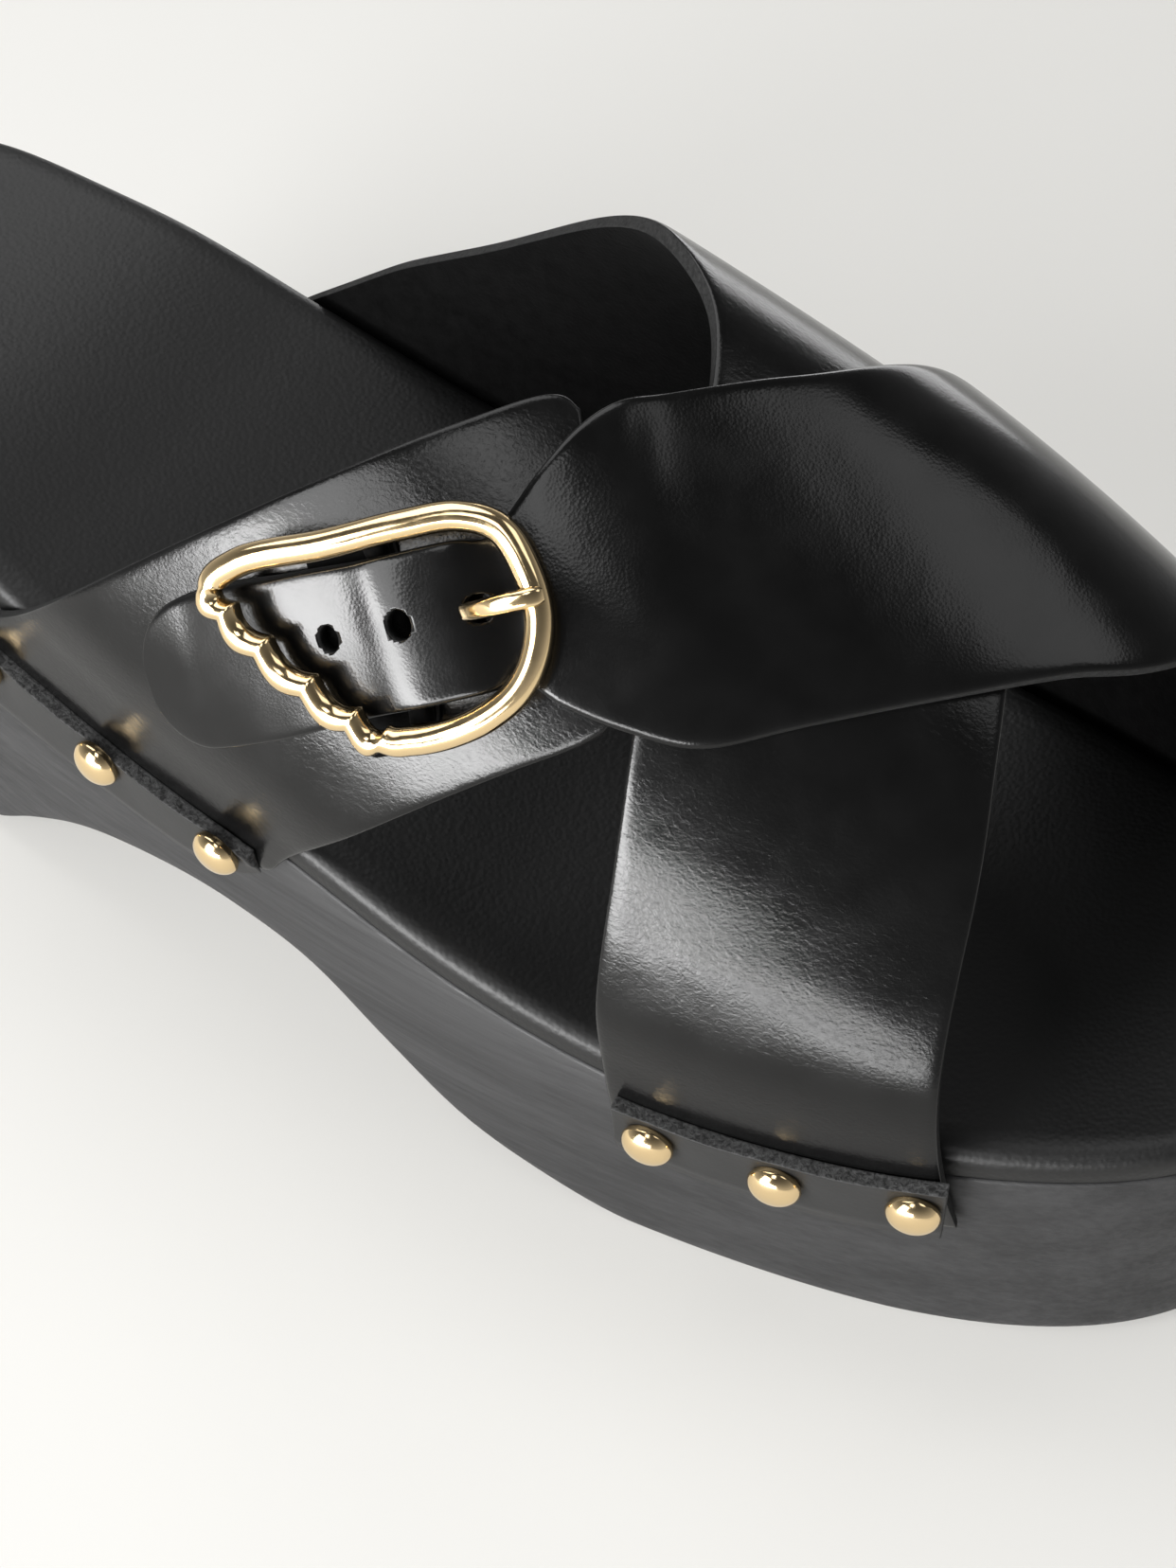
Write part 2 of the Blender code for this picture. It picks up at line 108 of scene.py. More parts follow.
def linear(code: str) -> tuple[float, float, float, float]:
    """Linear colour of an sRGB hex code.

    Args:
        code: the colour as "#RRGGBB".

    Returns:
        Linear red, green and blue, and an alpha of 1.
    """
    parts = [int(code[i:i + 2], 16) / 255 for i in (1, 3, 5)]
    return (*(c / 12.92 if c <= 0.04045 else ((c + 0.055) / 1.055) ** 2.4 for c in parts), 1.0)


def smooth(u: Array, a: Array, leave: Array, b: Array, arrive: Array) -> Array:
    """Smooth way from a to b at shares u, with the slopes that it leaves and arrives with."""
    start = (1 + 2 * u) * (1 - u) ** 2 * a + u * (1 - u) ** 2 * leave
    return start + u * u * (3 - 2 * u) * b + u * u * (u - 1) * arrive


def ease(xs: Row, ys: Row, x: Array) -> Array:
    """Smooth curve through a table.

    Args:
        xs: rising places of the table.
        ys: its values.
        x: places to read.

    Returns:
        The value at each place.
    """
    xs, ys = np.asarray(xs, float), np.asarray(ys, float)
    x = np.clip(np.asarray(x, float), xs[0], xs[-1])
    slope = np.gradient(ys, xs)
    i = np.clip(np.searchsorted(xs, x, side="right") - 1, 0, len(xs) - 2)
    step = xs[i + 1] - xs[i]
    return smooth((x - xs[i]) / step, ys[i], step * slope[i], ys[i + 1], step * slope[i + 1])


def rounded(points: Table, closed: bool, each: int) -> Array:
    """Smooth curve through points in a plane or in space.

    Args:
        points: the points in order.
        closed: whether the last one joins the first.
        each: steps in each stretch between two points.

    Returns:
        The curve's points.
    """
    p = np.asarray(points, float)
    if not closed:
        p = np.vstack([2 * p[0] - p[1], p, 2 * p[-1] - p[-2]])
    out = []
    for i in range(len(p)) if closed else range(1, len(p) - 2):
        a, b, c, d = (p[(i + k) % len(p)] for k in (-1, 0, 1, 2))
        ab, bc, cd = (np.linalg.norm(q - r) ** 0.5 for q, r in ((b, a), (c, b), (d, c)))
        leave = ((b - a) / ab - (c - a) / (ab + bc) + (c - b) / bc) * bc
        arrive = ((c - b) / bc - (d - b) / (bc + cd) + (d - c) / cd) * bc
        out += [smooth(u, b, leave, c, arrive) for u in np.linspace(0, 1, each, endpoint=False)]
    if not closed:
        out.append(p[-2])
    return np.array(out)


def add_node(
        tree: bpy.types.NodeTree, kind: str, sockets: dict | None = None, **settings: object,
) -> bpy.types.Node:
    """Adds a node with its settings and links.

    Args:
        tree: the node tree that gets it.
        kind: identifier of the node type.
        sockets: input name or number to a value, or to another node's output to link.
        **settings: properties of the node itself.

    Returns:
        The new node.
    """
    node = tree.nodes.new(kind)
    for name, value in settings.items():
        setattr(node, name, value)
    for key, value in (sockets or {}).items():
        if isinstance(value, bpy.types.NodeSocket):
            tree.links.new(value, node.inputs[key])
        else:
            node.inputs[key].default_value = value
    return node


def start_material(
        name: str, roughness: float, metallic: float = 0.0,
) -> tuple[Material, bpy.types.NodeTree, bpy.types.Node, bpy.types.NodeSocket]:
    """New material with a principled shader.

    Args:
        name: the material's name.
        roughness: the shader's roughness.
        metallic: the shader's metallic value.

    Returns:
        The material, its node tree, its shader and the socket of the piece's own coordinates in metres.
    """
    material = bpy.data.materials.new(name)
    material.use_nodes = True
    tree = material.node_tree
    shader = tree.nodes["Principled BSDF"]
    shader.inputs["Roughness"].default_value = roughness
    shader.inputs["Metallic"].default_value = metallic
    return material, tree, shader, add_node(tree, "ShaderNodeTexCoord").outputs["Object"]


def per_metre(size_mm: float) -> float:
    """Texture scale that makes one feature as large as a size in millimetres."""
    return 1.0 / (size_mm * MM)


@dataclass(frozen=True)
class GlazedLeather:
    """Vegetable-tanned hide, drum-dyed black and glazed under a glass roller.

    The glaze gives a tight, deep gloss. In a highlight the hide's fine wrinkles break it up.
    """

    name: str
    wrinkle_depth_mm: float
    deep: str = "#060606"
    worn: str = "#0E0E0E"
    cloud_mm: float = 7.0
    # Real wrinkles are about 0.3 mm apart and pores about 0.1 mm, too fine to show: both are drawn coarser.
    wrinkle_mm: float = 0.65
    wrinkle_stretch: float = 1.6
    pore_mm: float = 0.4
    pore_depth_mm: float = 0.008
    ripple_mm: float = 11.0
    ripple_depth_mm: float = 0.08
    roughness: tuple[float, float] = (0.15, 0.23)
    specular: float = 0.26
    coat: float = 0.1
    coat_roughness: float = 0.07

    def make(self) -> Material:
        """Builds the material.

        Returns:
            The material.
        """
        material, tree, shader, place = start_material(self.name, self.roughness[0])
        cloud = add_node(tree, "ShaderNodeTexNoise",
                         {"Vector": place, "Scale": per_metre(self.cloud_mm), "Detail": 4.0})
        tone = add_node(tree, "ShaderNodeMix",
                        {"Factor": cloud.outputs["Fac"], MIX_A: linear(self.deep), MIX_B: linear(self.worn)},
                        data_type="RGBA")
        gloss = add_node(tree, "ShaderNodeMapRange",
                         {"Value": cloud.outputs["Fac"], "From Min": NOISE_LOW, "From Max": NOISE_HIGH,
                          "To Min": self.roughness[0], "To Max": self.roughness[1]})
        ripple = add_node(tree, "ShaderNodeTexNoise",
                          {"Vector": place, "Scale": per_metre(self.ripple_mm), "Detail": 2.0})
        drawn = add_node(tree, "ShaderNodeMapping",
                         {"Vector": place, "Scale": (1 / self.wrinkle_stretch, 1.0, 1.0)})
        wrinkle = add_node(tree, "ShaderNodeTexNoise",
                           {"Vector": drawn.outputs["Vector"], "Scale": per_metre(self.wrinkle_mm),
                            "Detail": 4.0, "Roughness": 0.6, "Distortion": 0.8})
        pore = add_node(tree, "ShaderNodeTexVoronoi", {"Vector": place, "Scale": per_metre(self.pore_mm)})
        low = add_node(tree, "ShaderNodeBump",
                       {"Height": ripple.outputs["Fac"], "Distance": self.ripple_depth_mm * MM})
        mid = add_node(tree, "ShaderNodeBump",
                       {"Height": wrinkle.outputs["Fac"], "Distance": self.wrinkle_depth_mm * MM,
                        "Normal": low.outputs["Normal"]})
        fine = add_node(tree, "ShaderNodeBump",
                        {"Height": pore.outputs["Distance"], "Distance": self.pore_depth_mm * MM,
                         "Normal": mid.outputs["Normal"]})
        tree.links.new(tone.outputs[MIX_OUT], shader.inputs["Base Color"])
        tree.links.new(gloss.outputs["Result"], shader.inputs["Roughness"])
        tree.links.new(fine.outputs["Normal"], shader.inputs["Normal"])
        shader.inputs["Specular IOR Level"].default_value = self.specular
        shader.inputs["Coat Weight"].default_value = self.coat
        shader.inputs["Coat Roughness"].default_value = self.coat_roughness
        tree.links.new(fine.outputs["Normal"], shader.inputs["Coat Normal"])
        return material


@dataclass(frozen=True)
class FleshSuede:
    """Flesh side of the same hide, shaved and left raw: a short dull nap with darker and paler patches."""

    name: str = "raw_flesh_side_suede"
    dark: str = "#030303"
    pale: str = "#0B0B0B"
    patch_mm: float = 2.2
    patch_span: Row = (0.35, 0.7)
    # Real nap is about 0.2 mm, too fine to show: it is drawn coarser.
    nap_mm: float = 0.6
    nap_depth_mm: float = 0.12
    roughness: float = 0.95
    specular: float = 0.08
    sheen: float = 0.02

    def make(self) -> Material:
        """Builds the material.

        Returns:
            The material.
        """
        material, tree, shader, place = start_material(self.name, self.roughness)
        patch = add_node(tree, "ShaderNodeTexNoise",
                         {"Vector": place, "Scale": per_metre(self.patch_mm),
                          "Detail": 6.0, "Roughness": 0.7})
        spread = add_node(tree, "ShaderNodeMapRange",
                          {"Value": patch.outputs["Fac"],
                           "From Min": self.patch_span[0], "From Max": self.patch_span[1]})
        tone = add_node(tree, "ShaderNodeMix",
                        {"Factor": spread.outputs["Result"],
                         MIX_A: linear(self.dark), MIX_B: linear(self.pale)},
                        data_type="RGBA")
        nap = add_node(tree, "ShaderNodeTexNoise",
                       {"Vector": place, "Scale": per_metre(self.nap_mm), "Detail": 4.0})
        bump = add_node(tree, "ShaderNodeBump",
                        {"Height": nap.outputs["Fac"], "Distance": self.nap_depth_mm * MM})
        tree.links.new(tone.outputs[MIX_OUT], shader.inputs["Base Color"])
        tree.links.new(bump.outputs["Normal"], shader.inputs["Normal"])
        shader.inputs["Specular IOR Level"].default_value = self.specular
        shader.inputs["Sheen Weight"].default_value = self.sheen
        return material


@dataclass(frozen=True)
class RawEdge:
    """Knife-cut edge of leather, dyed but not burnished: pale fibres in a dark felt."""

    name: str
    dark: str
    pale: str
    # Real fibres are about 0.1 mm, too fine to show: they are drawn coarser.
    fibre_mm: float = 0.6
    fibre_span: Row = (0.35, 0.75)
    fibre_depth_mm: float = 0.2
    roughness: float = 0.85
    specular: float = 0.3

    def make(self) -> Material:
        """Builds the material.

        Returns:
            The material.
        """
        material, tree, shader, place = start_material(self.name, self.roughness)
        fibre = add_node(tree, "ShaderNodeTexNoise",
                         {"Vector": place, "Scale": per_metre(self.fibre_mm), "Detail": 6.0,
                          "Roughness": 0.65, "Distortion": 0.6})
        spread = add_node(tree, "ShaderNodeMapRange",
                          {"Value": fibre.outputs["Fac"],
                           "From Min": self.fibre_span[0], "From Max": self.fibre_span[1]})
        tone = add_node(tree, "ShaderNodeMix",
                        {"Factor": spread.outputs["Result"],
                         MIX_A: linear(self.dark), MIX_B: linear(self.pale)},
                        data_type="RGBA")
        bump = add_node(tree, "ShaderNodeBump",
                        {"Height": fibre.outputs["Fac"], "Distance": self.fibre_depth_mm * MM})
        tree.links.new(tone.outputs[MIX_OUT], shader.inputs["Base Color"])
        tree.links.new(bump.outputs["Normal"], shader.inputs["Normal"])
        shader.inputs["Specular IOR Level"].default_value = self.specular
        return material


@dataclass(frozen=True)
class SoftCalf:
    """Calf skin over thin padding, plated with a fine pebble: an even satin sheen."""

    name: str = "satin_black_calf_insole"
    deep: str = "#0B0B0B"
    pale: str = "#121212"
    cloud_mm: float = 12.0
    # The plated pebble of real calf is about 0.3 mm, too fine to show: it is drawn coarser.
    pebble_mm: float = 0.7
    pebble_depth_mm: float = 0.04
    roughness: float = 0.44
    specular: float = 0.38

    def make(self) -> Material:
        """Builds the material.

        Returns:
            The material.
        """
        material, tree, shader, place = start_material(self.name, self.roughness)
        cloud = add_node(tree, "ShaderNodeTexNoise",
                         {"Vector": place, "Scale": per_metre(self.cloud_mm), "Detail": 3.0})
        tone = add_node(tree, "ShaderNodeMix",
                        {"Factor": cloud.outputs["Fac"], MIX_A: linear(self.deep), MIX_B: linear(self.pale)},
                        data_type="RGBA")
        pebble = add_node(tree, "ShaderNodeTexVoronoi",
                          {"Vector": place, "Scale": per_metre(self.pebble_mm), "Smoothness": 0.6},
                          feature="SMOOTH_F1")
        bump = add_node(tree, "ShaderNodeBump",
                        {"Height": pebble.outputs["Distance"], "Distance": self.pebble_depth_mm * MM},
                        invert=True)
        tree.links.new(tone.outputs[MIX_OUT], shader.inputs["Base Color"])
        tree.links.new(bump.outputs["Normal"], shader.inputs["Normal"])
        shader.inputs["Specular IOR Level"].default_value = self.specular
        return material


@dataclass(frozen=True)
class RandLeather:
    """Firm sole-bend strip, dyed through and waxed by hand: smooth, dull and a little cloudy."""

    name: str = "waxed_rand_leather"
    deep: str = "#161616"
    pale: str = "#202020"
    cloud_mm: float = 5.0
    # Real grain is about 0.3 mm, too fine to show: it is drawn coarser.
    grain_mm: float = 0.8
    grain_depth_mm: float = 0.03
    roughness: float = 0.52
    specular: float = 0.34

    def make(self) -> Material:
        """Builds the material.

        Returns:
            The material.
        """
        material, tree, shader, place = start_material(self.name, self.roughness)
        cloud = add_node(tree, "ShaderNodeTexNoise",
                         {"Vector": place, "Scale": per_metre(self.cloud_mm), "Detail": 3.0})
        tone = add_node(tree, "ShaderNodeMix",
                        {"Factor": cloud.outputs["Fac"], MIX_A: linear(self.deep), MIX_B: linear(self.pale)},
                        data_type="RGBA")
        grain = add_node(tree, "ShaderNodeTexNoise",
                         {"Vector": place, "Scale": per_metre(self.grain_mm), "Detail": 3.0})
        bump = add_node(tree, "ShaderNodeBump",
                        {"Height": grain.outputs["Fac"], "Distance": self.grain_depth_mm * MM})
        tree.links.new(tone.outputs[MIX_OUT], shader.inputs["Base Color"])
        tree.links.new(bump.outputs["Normal"], shader.inputs["Normal"])
        shader.inputs["Specular IOR Level"].default_value = self.specular
        return material


@dataclass(frozen=True)
class StainedWood:
    """Light hardwood block, sanded and stained black: dull, with fine pores drawn out along the foot."""

    name: str = "black_stained_alder"
    deep: str = "#141415"
    pale: str = "#262627"
    # Real pores are about 0.1 mm wide, too fine to show: they are drawn as wider streaks.
    pore_long_mm: float = 26.0
    pore_wide_mm: float = 0.9
    band_wide_mm: float = 5.0
    pore_depth_mm: float = 0.07
    grain_span: Row = (0.75, 1.25)
    roughness: tuple[float, float] = (0.5, 0.68)

    def make(self) -> Material:
        """Builds the material.

        Returns:
            The material.
        """
        material, tree, shader, place = start_material(self.name, self.roughness[0])
        stretch = add_node(tree, "ShaderNodeMapping",
                           {"Vector": place, "Scale": (self.pore_wide_mm / self.pore_long_mm, 1.0, 1.0)})
        pore = add_node(tree, "ShaderNodeTexNoise",
                        {"Vector": stretch.outputs["Vector"], "Scale": per_metre(self.pore_wide_mm),
                         "Detail": 5.0, "Roughness": 0.65, "Distortion": 0.3})
        band = add_node(tree, "ShaderNodeTexNoise",
                        {"Vector": stretch.outputs["Vector"], "Scale": per_metre(self.band_wide_mm),
                         "Detail": 2.0})
        both = add_node(tree, "ShaderNodeMath", {0: pore.outputs["Fac"], 1: band.outputs["Fac"]},
                        operation="ADD")
        spread = add_node(tree, "ShaderNodeMapRange",
                          {"Value": both.outputs["Value"],
                           "From Min": self.grain_span[0], "From Max": self.grain_span[1]})
        tone = add_node(tree, "ShaderNodeMix",
                        {"Factor": spread.outputs["Result"],
                         MIX_A: linear(self.deep), MIX_B: linear(self.pale)},
                        data_type="RGBA")
        gloss = add_node(tree, "ShaderNodeMapRange",
                         {"Value": pore.outputs["Fac"], "From Min": NOISE_LOW, "From Max": NOISE_HIGH,
                          "To Min": self.roughness[1], "To Max": self.roughness[0]})
        bump = add_node(tree, "ShaderNodeBump",
                        {"Height": pore.outputs["Fac"], "Distance": self.pore_depth_mm * MM})
        tree.links.new(tone.outputs[MIX_OUT], shader.inputs["Base Color"])
        tree.links.new(gloss.outputs["Result"], shader.inputs["Roughness"])
        tree.links.new(bump.outputs["Normal"], shader.inputs["Normal"])
        return material


@dataclass(frozen=True)
class PaleGold:
    """Cast brass, polished and flash-plated in pale gold: mirror bright, with the cast's soft waves."""

    name: str = "polished_pale_gold_plate"
    colour: str = "#EACFA0"
    wave_mm: float = 3.0
    wave_depth_mm: float = 0.03
    roughness: tuple[float, float] = (0.09, 0.18)

    def make(self) -> Material:
        """Builds the material.

        Returns:
            The material.
        """
        material, tree, shader, place = start_material(self.name, self.roughness[0], 1.0)
        shader.inputs["Base Color"].default_value = linear(self.colour)
        wave = add_node(tree, "ShaderNodeTexNoise",
                        {"Vector": place, "Scale": per_metre(self.wave_mm), "Detail": 2.0})
        gloss = add_node(tree, "ShaderNodeMapRange",
                         {"Value": wave.outputs["Fac"], "From Min": NOISE_LOW, "From Max": NOISE_HIGH,
                          "To Min": self.roughness[0], "To Max": self.roughness[1]})
        bump = add_node(tree, "ShaderNodeBump",
                        {"Height": wave.outputs["Fac"], "Distance": self.wave_depth_mm * MM})
        tree.links.new(gloss.outputs["Result"], shader.inputs["Roughness"])
        tree.links.new(bump.outputs["Normal"], shader.inputs["Normal"])
        return material


@dataclass(frozen=True)
class StudioPaper:
    """Seamless paper, flat and pale with hardly any tooth. It glows a little: painted light that fills its
    shadows and keeps it evenly bright.
    """

    name: str = "seamless_paper"
    pale: str = "#BDBCB9"
    shade: str = "#BBBAB7"
    cloud_mm: float = 60.0
    # Strength of the paper's own glow: painted light that fills its shadows.
    glow: float = 0.6
    roughness: float = 0.9
    specular: float = 0.1

    def make(self) -> Material:
        """Builds the material.

        Returns:
            The material.
        """
        material, tree, shader, place = start_material(self.name, self.roughness)
        cloud = add_node(tree, "ShaderNodeTexNoise", {"Vector": place, "Scale": per_metre(self.cloud_mm)})
        tone = add_node(tree, "ShaderNodeMix",
                        {"Factor": cloud.outputs["Fac"], MIX_A: linear(self.shade), MIX_B: linear(self.pale)},
                        data_type="RGBA")
        tree.links.new(tone.outputs[MIX_OUT], shader.inputs["Base Color"])
        # The paper glows in its own colour: painted light that fills its shadows.
        tree.links.new(tone.outputs[MIX_OUT], shader.inputs["Emission Color"])
        shader.inputs["Emission Strength"].default_value = self.glow
        shader.inputs["Specular IOR Level"].default_value = self.specular
        return material


class Finishes:
    """Every material of the clog, made once."""

    def __init__(self) -> None:
        """Makes the materials."""
        self.bent = GlazedLeather("glazed_hide_bent", 0.034, roughness=(0.16, 0.24)).make()
        self.flat = GlazedLeather("glazed_hide_flat", 0.007).make()
        self.suede = FleshSuede().make()
        self.edge = RawEdge("raw_cut_hide_edge", "#0A0A0A", "#2C2C2C").make()
        self.rand_edge = RawEdge("raw_cut_rand_edge", "#101010", "#525252").make()
        self.calf = SoftCalf().make()
        self.rand = RandLeather().make()
        self.wood = StainedWood().make()
        self.gold = PaleGold().make()

    def strap(self, grain: Material) -> list[Material]:
        """Materials of a strap with a given grain side, in the order of Face."""
        return [grain, self.suede, self.edge]

    def strip(self) -> list[Material]:
        """Materials of a rand, in the order of Face."""
        return [self.rand, self.suede, self.rand_edge]


@dataclass
class Form:
    """Mesh in millimetres: points, faces and the material slot of each face."""

    points: Array
    faces: list[tuple[int, ...]]
    slots: list[int]

    def joined(self, other: "Form") -> "Form":
        """This mesh with another one beside it.

        Args:
            other: the other mesh.

        Returns:
            Both as one mesh.
        """
        start = len(self.points)
        faces = self.faces + [tuple(start + k for k in face) for face in other.faces]
        return Form(np.vstack([self.points, other.points]), faces, self.slots + other.slots)

    def add(self, name: str, materials: list[Material], smoothing: int = 0) -> Piece:
        """Makes the object.

        Args:
            name: name of the piece.
            materials: its materials, by slot.
            smoothing: levels of subdivision to apply.

        Returns:
            The object, in metres in the part's frame.
        """
        mesh = bpy.data.meshes.new(name)
        mesh.from_pydata(((self.points - MID) * MM).tolist(), [], self.faces)
        for material in materials:
            mesh.materials.append(material)
        mesh.polygons.foreach_set("material_index", self.slots)
        form = bmesh.new()
        form.from_mesh(mesh)
        bmesh.ops.recalc_face_normals(form, faces=form.faces)
        form.to_mesh(mesh)
        form.free()
        piece = bpy.data.objects.new(name, mesh)
        bpy.context.scene.collection.objects.link(piece)
        if smoothing:
            step = piece.modifiers.new("smoothing", "SUBSURF")
            step.levels = step.render_levels = smoothing
            apply_modifiers(piece)
        piece.data.shade_smooth()
        return piece


def apply_modifiers(piece: Piece) -> None:
    """Turns a piece's modifiers into its own mesh.

    Args:
        piece: the object.
    """
    shape = piece.evaluated_get(bpy.context.evaluated_depsgraph_get())
    mesh = bpy.data.meshes.new_from_object(shape)
    piece.modifiers.clear()
    piece.data = mesh


def settle(piece: Piece, slot: str, *nodes: str) -> None:
    """Seats a finished piece in the frame.

    Args:
        piece: the object.
        slot: the record's material slot. It is not used.
        *nodes: solids that it stands for, if any.
    """
    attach(piece, BODY)
    if nodes:
        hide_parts(*nodes)
    LOG.info("%s: %d faces, for %s", piece.name, len(piece.data.polygons), ", ".join(nodes) or "no solid")


def circle(sides: int) -> Array:
    """Points of a circle of radius 1 in a plane."""
    turn = np.arange(sides) * 2 * np.pi / sides
    return np.stack([np.cos(turn), np.sin(turn)], -1)


def tube(rings: Array, closed: bool = False) -> Form:
    """Skin through rings of points.

    Args:
        rings: the points, ring by ring.
        closed: whether the last ring joins the first. If not, both are capped.

    Returns:
        The closed mesh.
    """
    count, sides = rings.shape[:2]
    faces = []
    for i in range(count if closed else count - 1):
        j = (i + 1) % count
        for k in range(sides):
            n = (k + 1) % sides
            faces.append((i * sides + k, i * sides + n, j * sides + n, j * sides + k))
    if not closed:
        faces += [tuple(start + k for k in range(sides)) for start in (0, (count - 1) * sides)]
    return Form(rings.reshape(-1, 3), faces, [0] * len(faces))


@dataclass
class Last:
    """Form of the foot under the straps, with the plan and heights of the sole."""

    length: float = 250.0
    half_width: float = 43.0
    # Plan of the sole, clockwise from the back of the heel, seen from above.
    outline: Table = (
        (0.0, 0.0), (3.5, -14.0), (15.0, -25.0), (42.0, -33.0), (100.0, -40.5), (160.0, -42.2),
        (215.0, -30.7), (241.0, -15.5), (250.0, 2.0), (240.0, 27.0), (215.0, 40.0), (178.0, 45.0),
        (112.0, 38.0), (42.0, 28.5), (15.0, 23.5), (3.5, 13.5),
    )
    seam_x: Row = (0, 25, 50, 75, 100, 125, 150, 175, 200, 225, 250)
    seam_z: Row = (72.3, 70.9, 66.8, 58.5, 50.6, 44.9, 38.4, 33.9, 33.8, 36.6, 40.9)
    under_x: Row = (0, 50, 56, 65, 78, 92, 110, 124, 136, 148, 160, 174, 180, 210, 222, 236, 250)
    under_z: Row = (0, 0, 3.0, 10.0, 18.3, 23.3, 25.6, 23.3, 15.6, 7.6, 3.2, 0, 0, 0, 0.5, 2.2, 5.0)
    crown_x: Row = (60, 90, 120, 150, 180, 210, 240)
    crown_z: Row = (132.0, 124.5, 116.5, 106.5, 94.5, 80.5, 65.5)
    crown_inward: float = 12.0
    outer_power: float = 2.0
    inner_power: float = 2.5
    steps: int = 200

    def __post_init__(self) -> None:
        """Splits the plan into its outer and inner side."""
        ring = rounded(self.outline, closed=True, each=80)
        toe = int(np.argmax(ring[:, 0]))
        outer, inner = ring[:toe + 1], np.vstack([ring[toe:], ring[:1]])
        self.sides = {Side.OUTER: outer[np.argsort(outer[:, 0])], Side.INNER: inner[np.argsort(inner[:, 0])]}

    def wall(self, x: Array, side: Side) -> Array:
        """y of the wall of the sole at x on one side."""
        line = self.sides[side]
        return np.interp(x, line[:, 0], line[:, 1])

    def seam(self, x: Array) -> Array:
        """Height of the top of the wood at x."""
        return ease(self.seam_x, self.seam_z, x)

    def underside(self, x: Array) -> Array:
        """Height of the underside of the wood at x."""
        return np.maximum(ease(self.under_x, self.under_z, x), 0.0)

    def sections(self, x: Array) -> tuple[Array, Array, Array]:
        """Cross-sections of the last.

        Args:
            x: places along the foot.

        Returns:
            y, z and the distance from the crown, with one row of points for each place.
        """
        outer, inner = self.wall(x, Side.OUTER) - GAP, self.wall(x, Side.INNER) + GAP
        base, crown = self.seam(x), ease(self.crown_x, self.crown_z, x)
        ridge = (outer + inner) / 2 + self.crown_inward
        turn = np.linspace(-1, 1, 2 * self.steps + 1)
        power = 2 / np.where(turn < 0, self.outer_power, self.inner_power)
        out = np.sin(np.abs(turn) * np.pi / 2) ** power
        up = np.clip(np.cos(turn * np.pi / 2), 0, 1) ** power
        reach = np.where(turn < 0, (outer - ridge)[:, None], (inner - ridge)[:, None])
        y = ridge[:, None] + reach * out
        z = base[:, None] + (crown - base)[:, None] * up
        way = np.cumsum(np.hypot(np.diff(y, axis=1), np.diff(z, axis=1)), axis=1)
        way = np.hstack([np.zeros((len(x), 1)), way])
        return y, z, way - way[:, self.steps:self.steps + 1]

    def rim(self, x: Array, side: Side) -> Array:
        """s where the last meets the top of the wood, at each x."""
        way = self.sections(np.ravel(x).astype(float))[2]
        return way[:, 0 if side is Side.OUTER else -1].reshape(np.shape(x))

    def points(self, x: Array, s: Array) -> Array:
        """Points of the last.

        Args:
            x: places along the foot, in an array of any shape.
            s: distances round it, in the same shape.

        Returns:
            Points, in an array of that shape with three columns more.
        """
        flat_x, flat_s = np.ravel(x).astype(float), np.ravel(s).astype(float)
        y, z, way = self.sections(flat_x)
        row = np.arange(len(flat_x))
        k = np.clip((way <= flat_s[:, None]).sum(1) - 1, 0, 2 * self.steps - 1)
        share = np.clip((flat_s - way[row, k]) / (way[row, k + 1] - way[row, k]), 0, 1)
        below = np.maximum(np.maximum(way[:, 0] - flat_s, flat_s - way[:, -1]), 0.0)
        found_y = y[row, k] + (y[row, k + 1] - y[row, k]) * share
        found_z = z[row, k] + (z[row, k + 1] - z[row, k]) * share - below
        return np.stack([flat_x, found_y, found_z], -1).reshape(*np.shape(x), 3)

    def normals(self, x: Array, s: Array, reach: float = 0.8) -> Array:
        """Outward normals of the last.

        Args:
            x: places along the foot, in an array of any shape.
            s: distances round it, in the same shape.
            reach: how far to each side the slopes are taken.

        Returns:
            Normals, in an array of that shape with three columns more.
        """
        along = self.points(x + reach, s) - self.points(x - reach, s)
        round_foot = self.points(x, s + reach) - self.points(x, s - reach)
        normal = np.cross(along, round_foot)
        return normal / np.linalg.norm(normal, axis=-1, keepdims=True)

    def over(self, x: Array, s: Array, height: Array) -> Array:
        """Points at a height over the last, with arguments as for points."""
        x, s = np.asarray(x, float), np.asarray(s, float)
        return self.points(x, s) + self.normals(x, s) * np.asarray(height)[..., None]

    def beside(self, x: Array, side: Side, offset: Array, up: Array) -> Array:
        """Points beside the wall of the sole.

        Args:
            x: places along the foot.
            side: side of the foot.
            offset: distance outwards from the wall.
            up: height over the seam.

        Returns:
            The points.
        """
        reach = 1.0
        slope = (self.wall(x + reach, side) - self.wall(x - reach, side)) / (2 * reach)
        long = np.hypot(slope, 1.0)
        out_x, out_y = -slope * side.value / long, side.value / long
        return np.stack([x + out_x * offset, self.wall(x, side) + out_y * offset, self.seam(x) + up], -1)


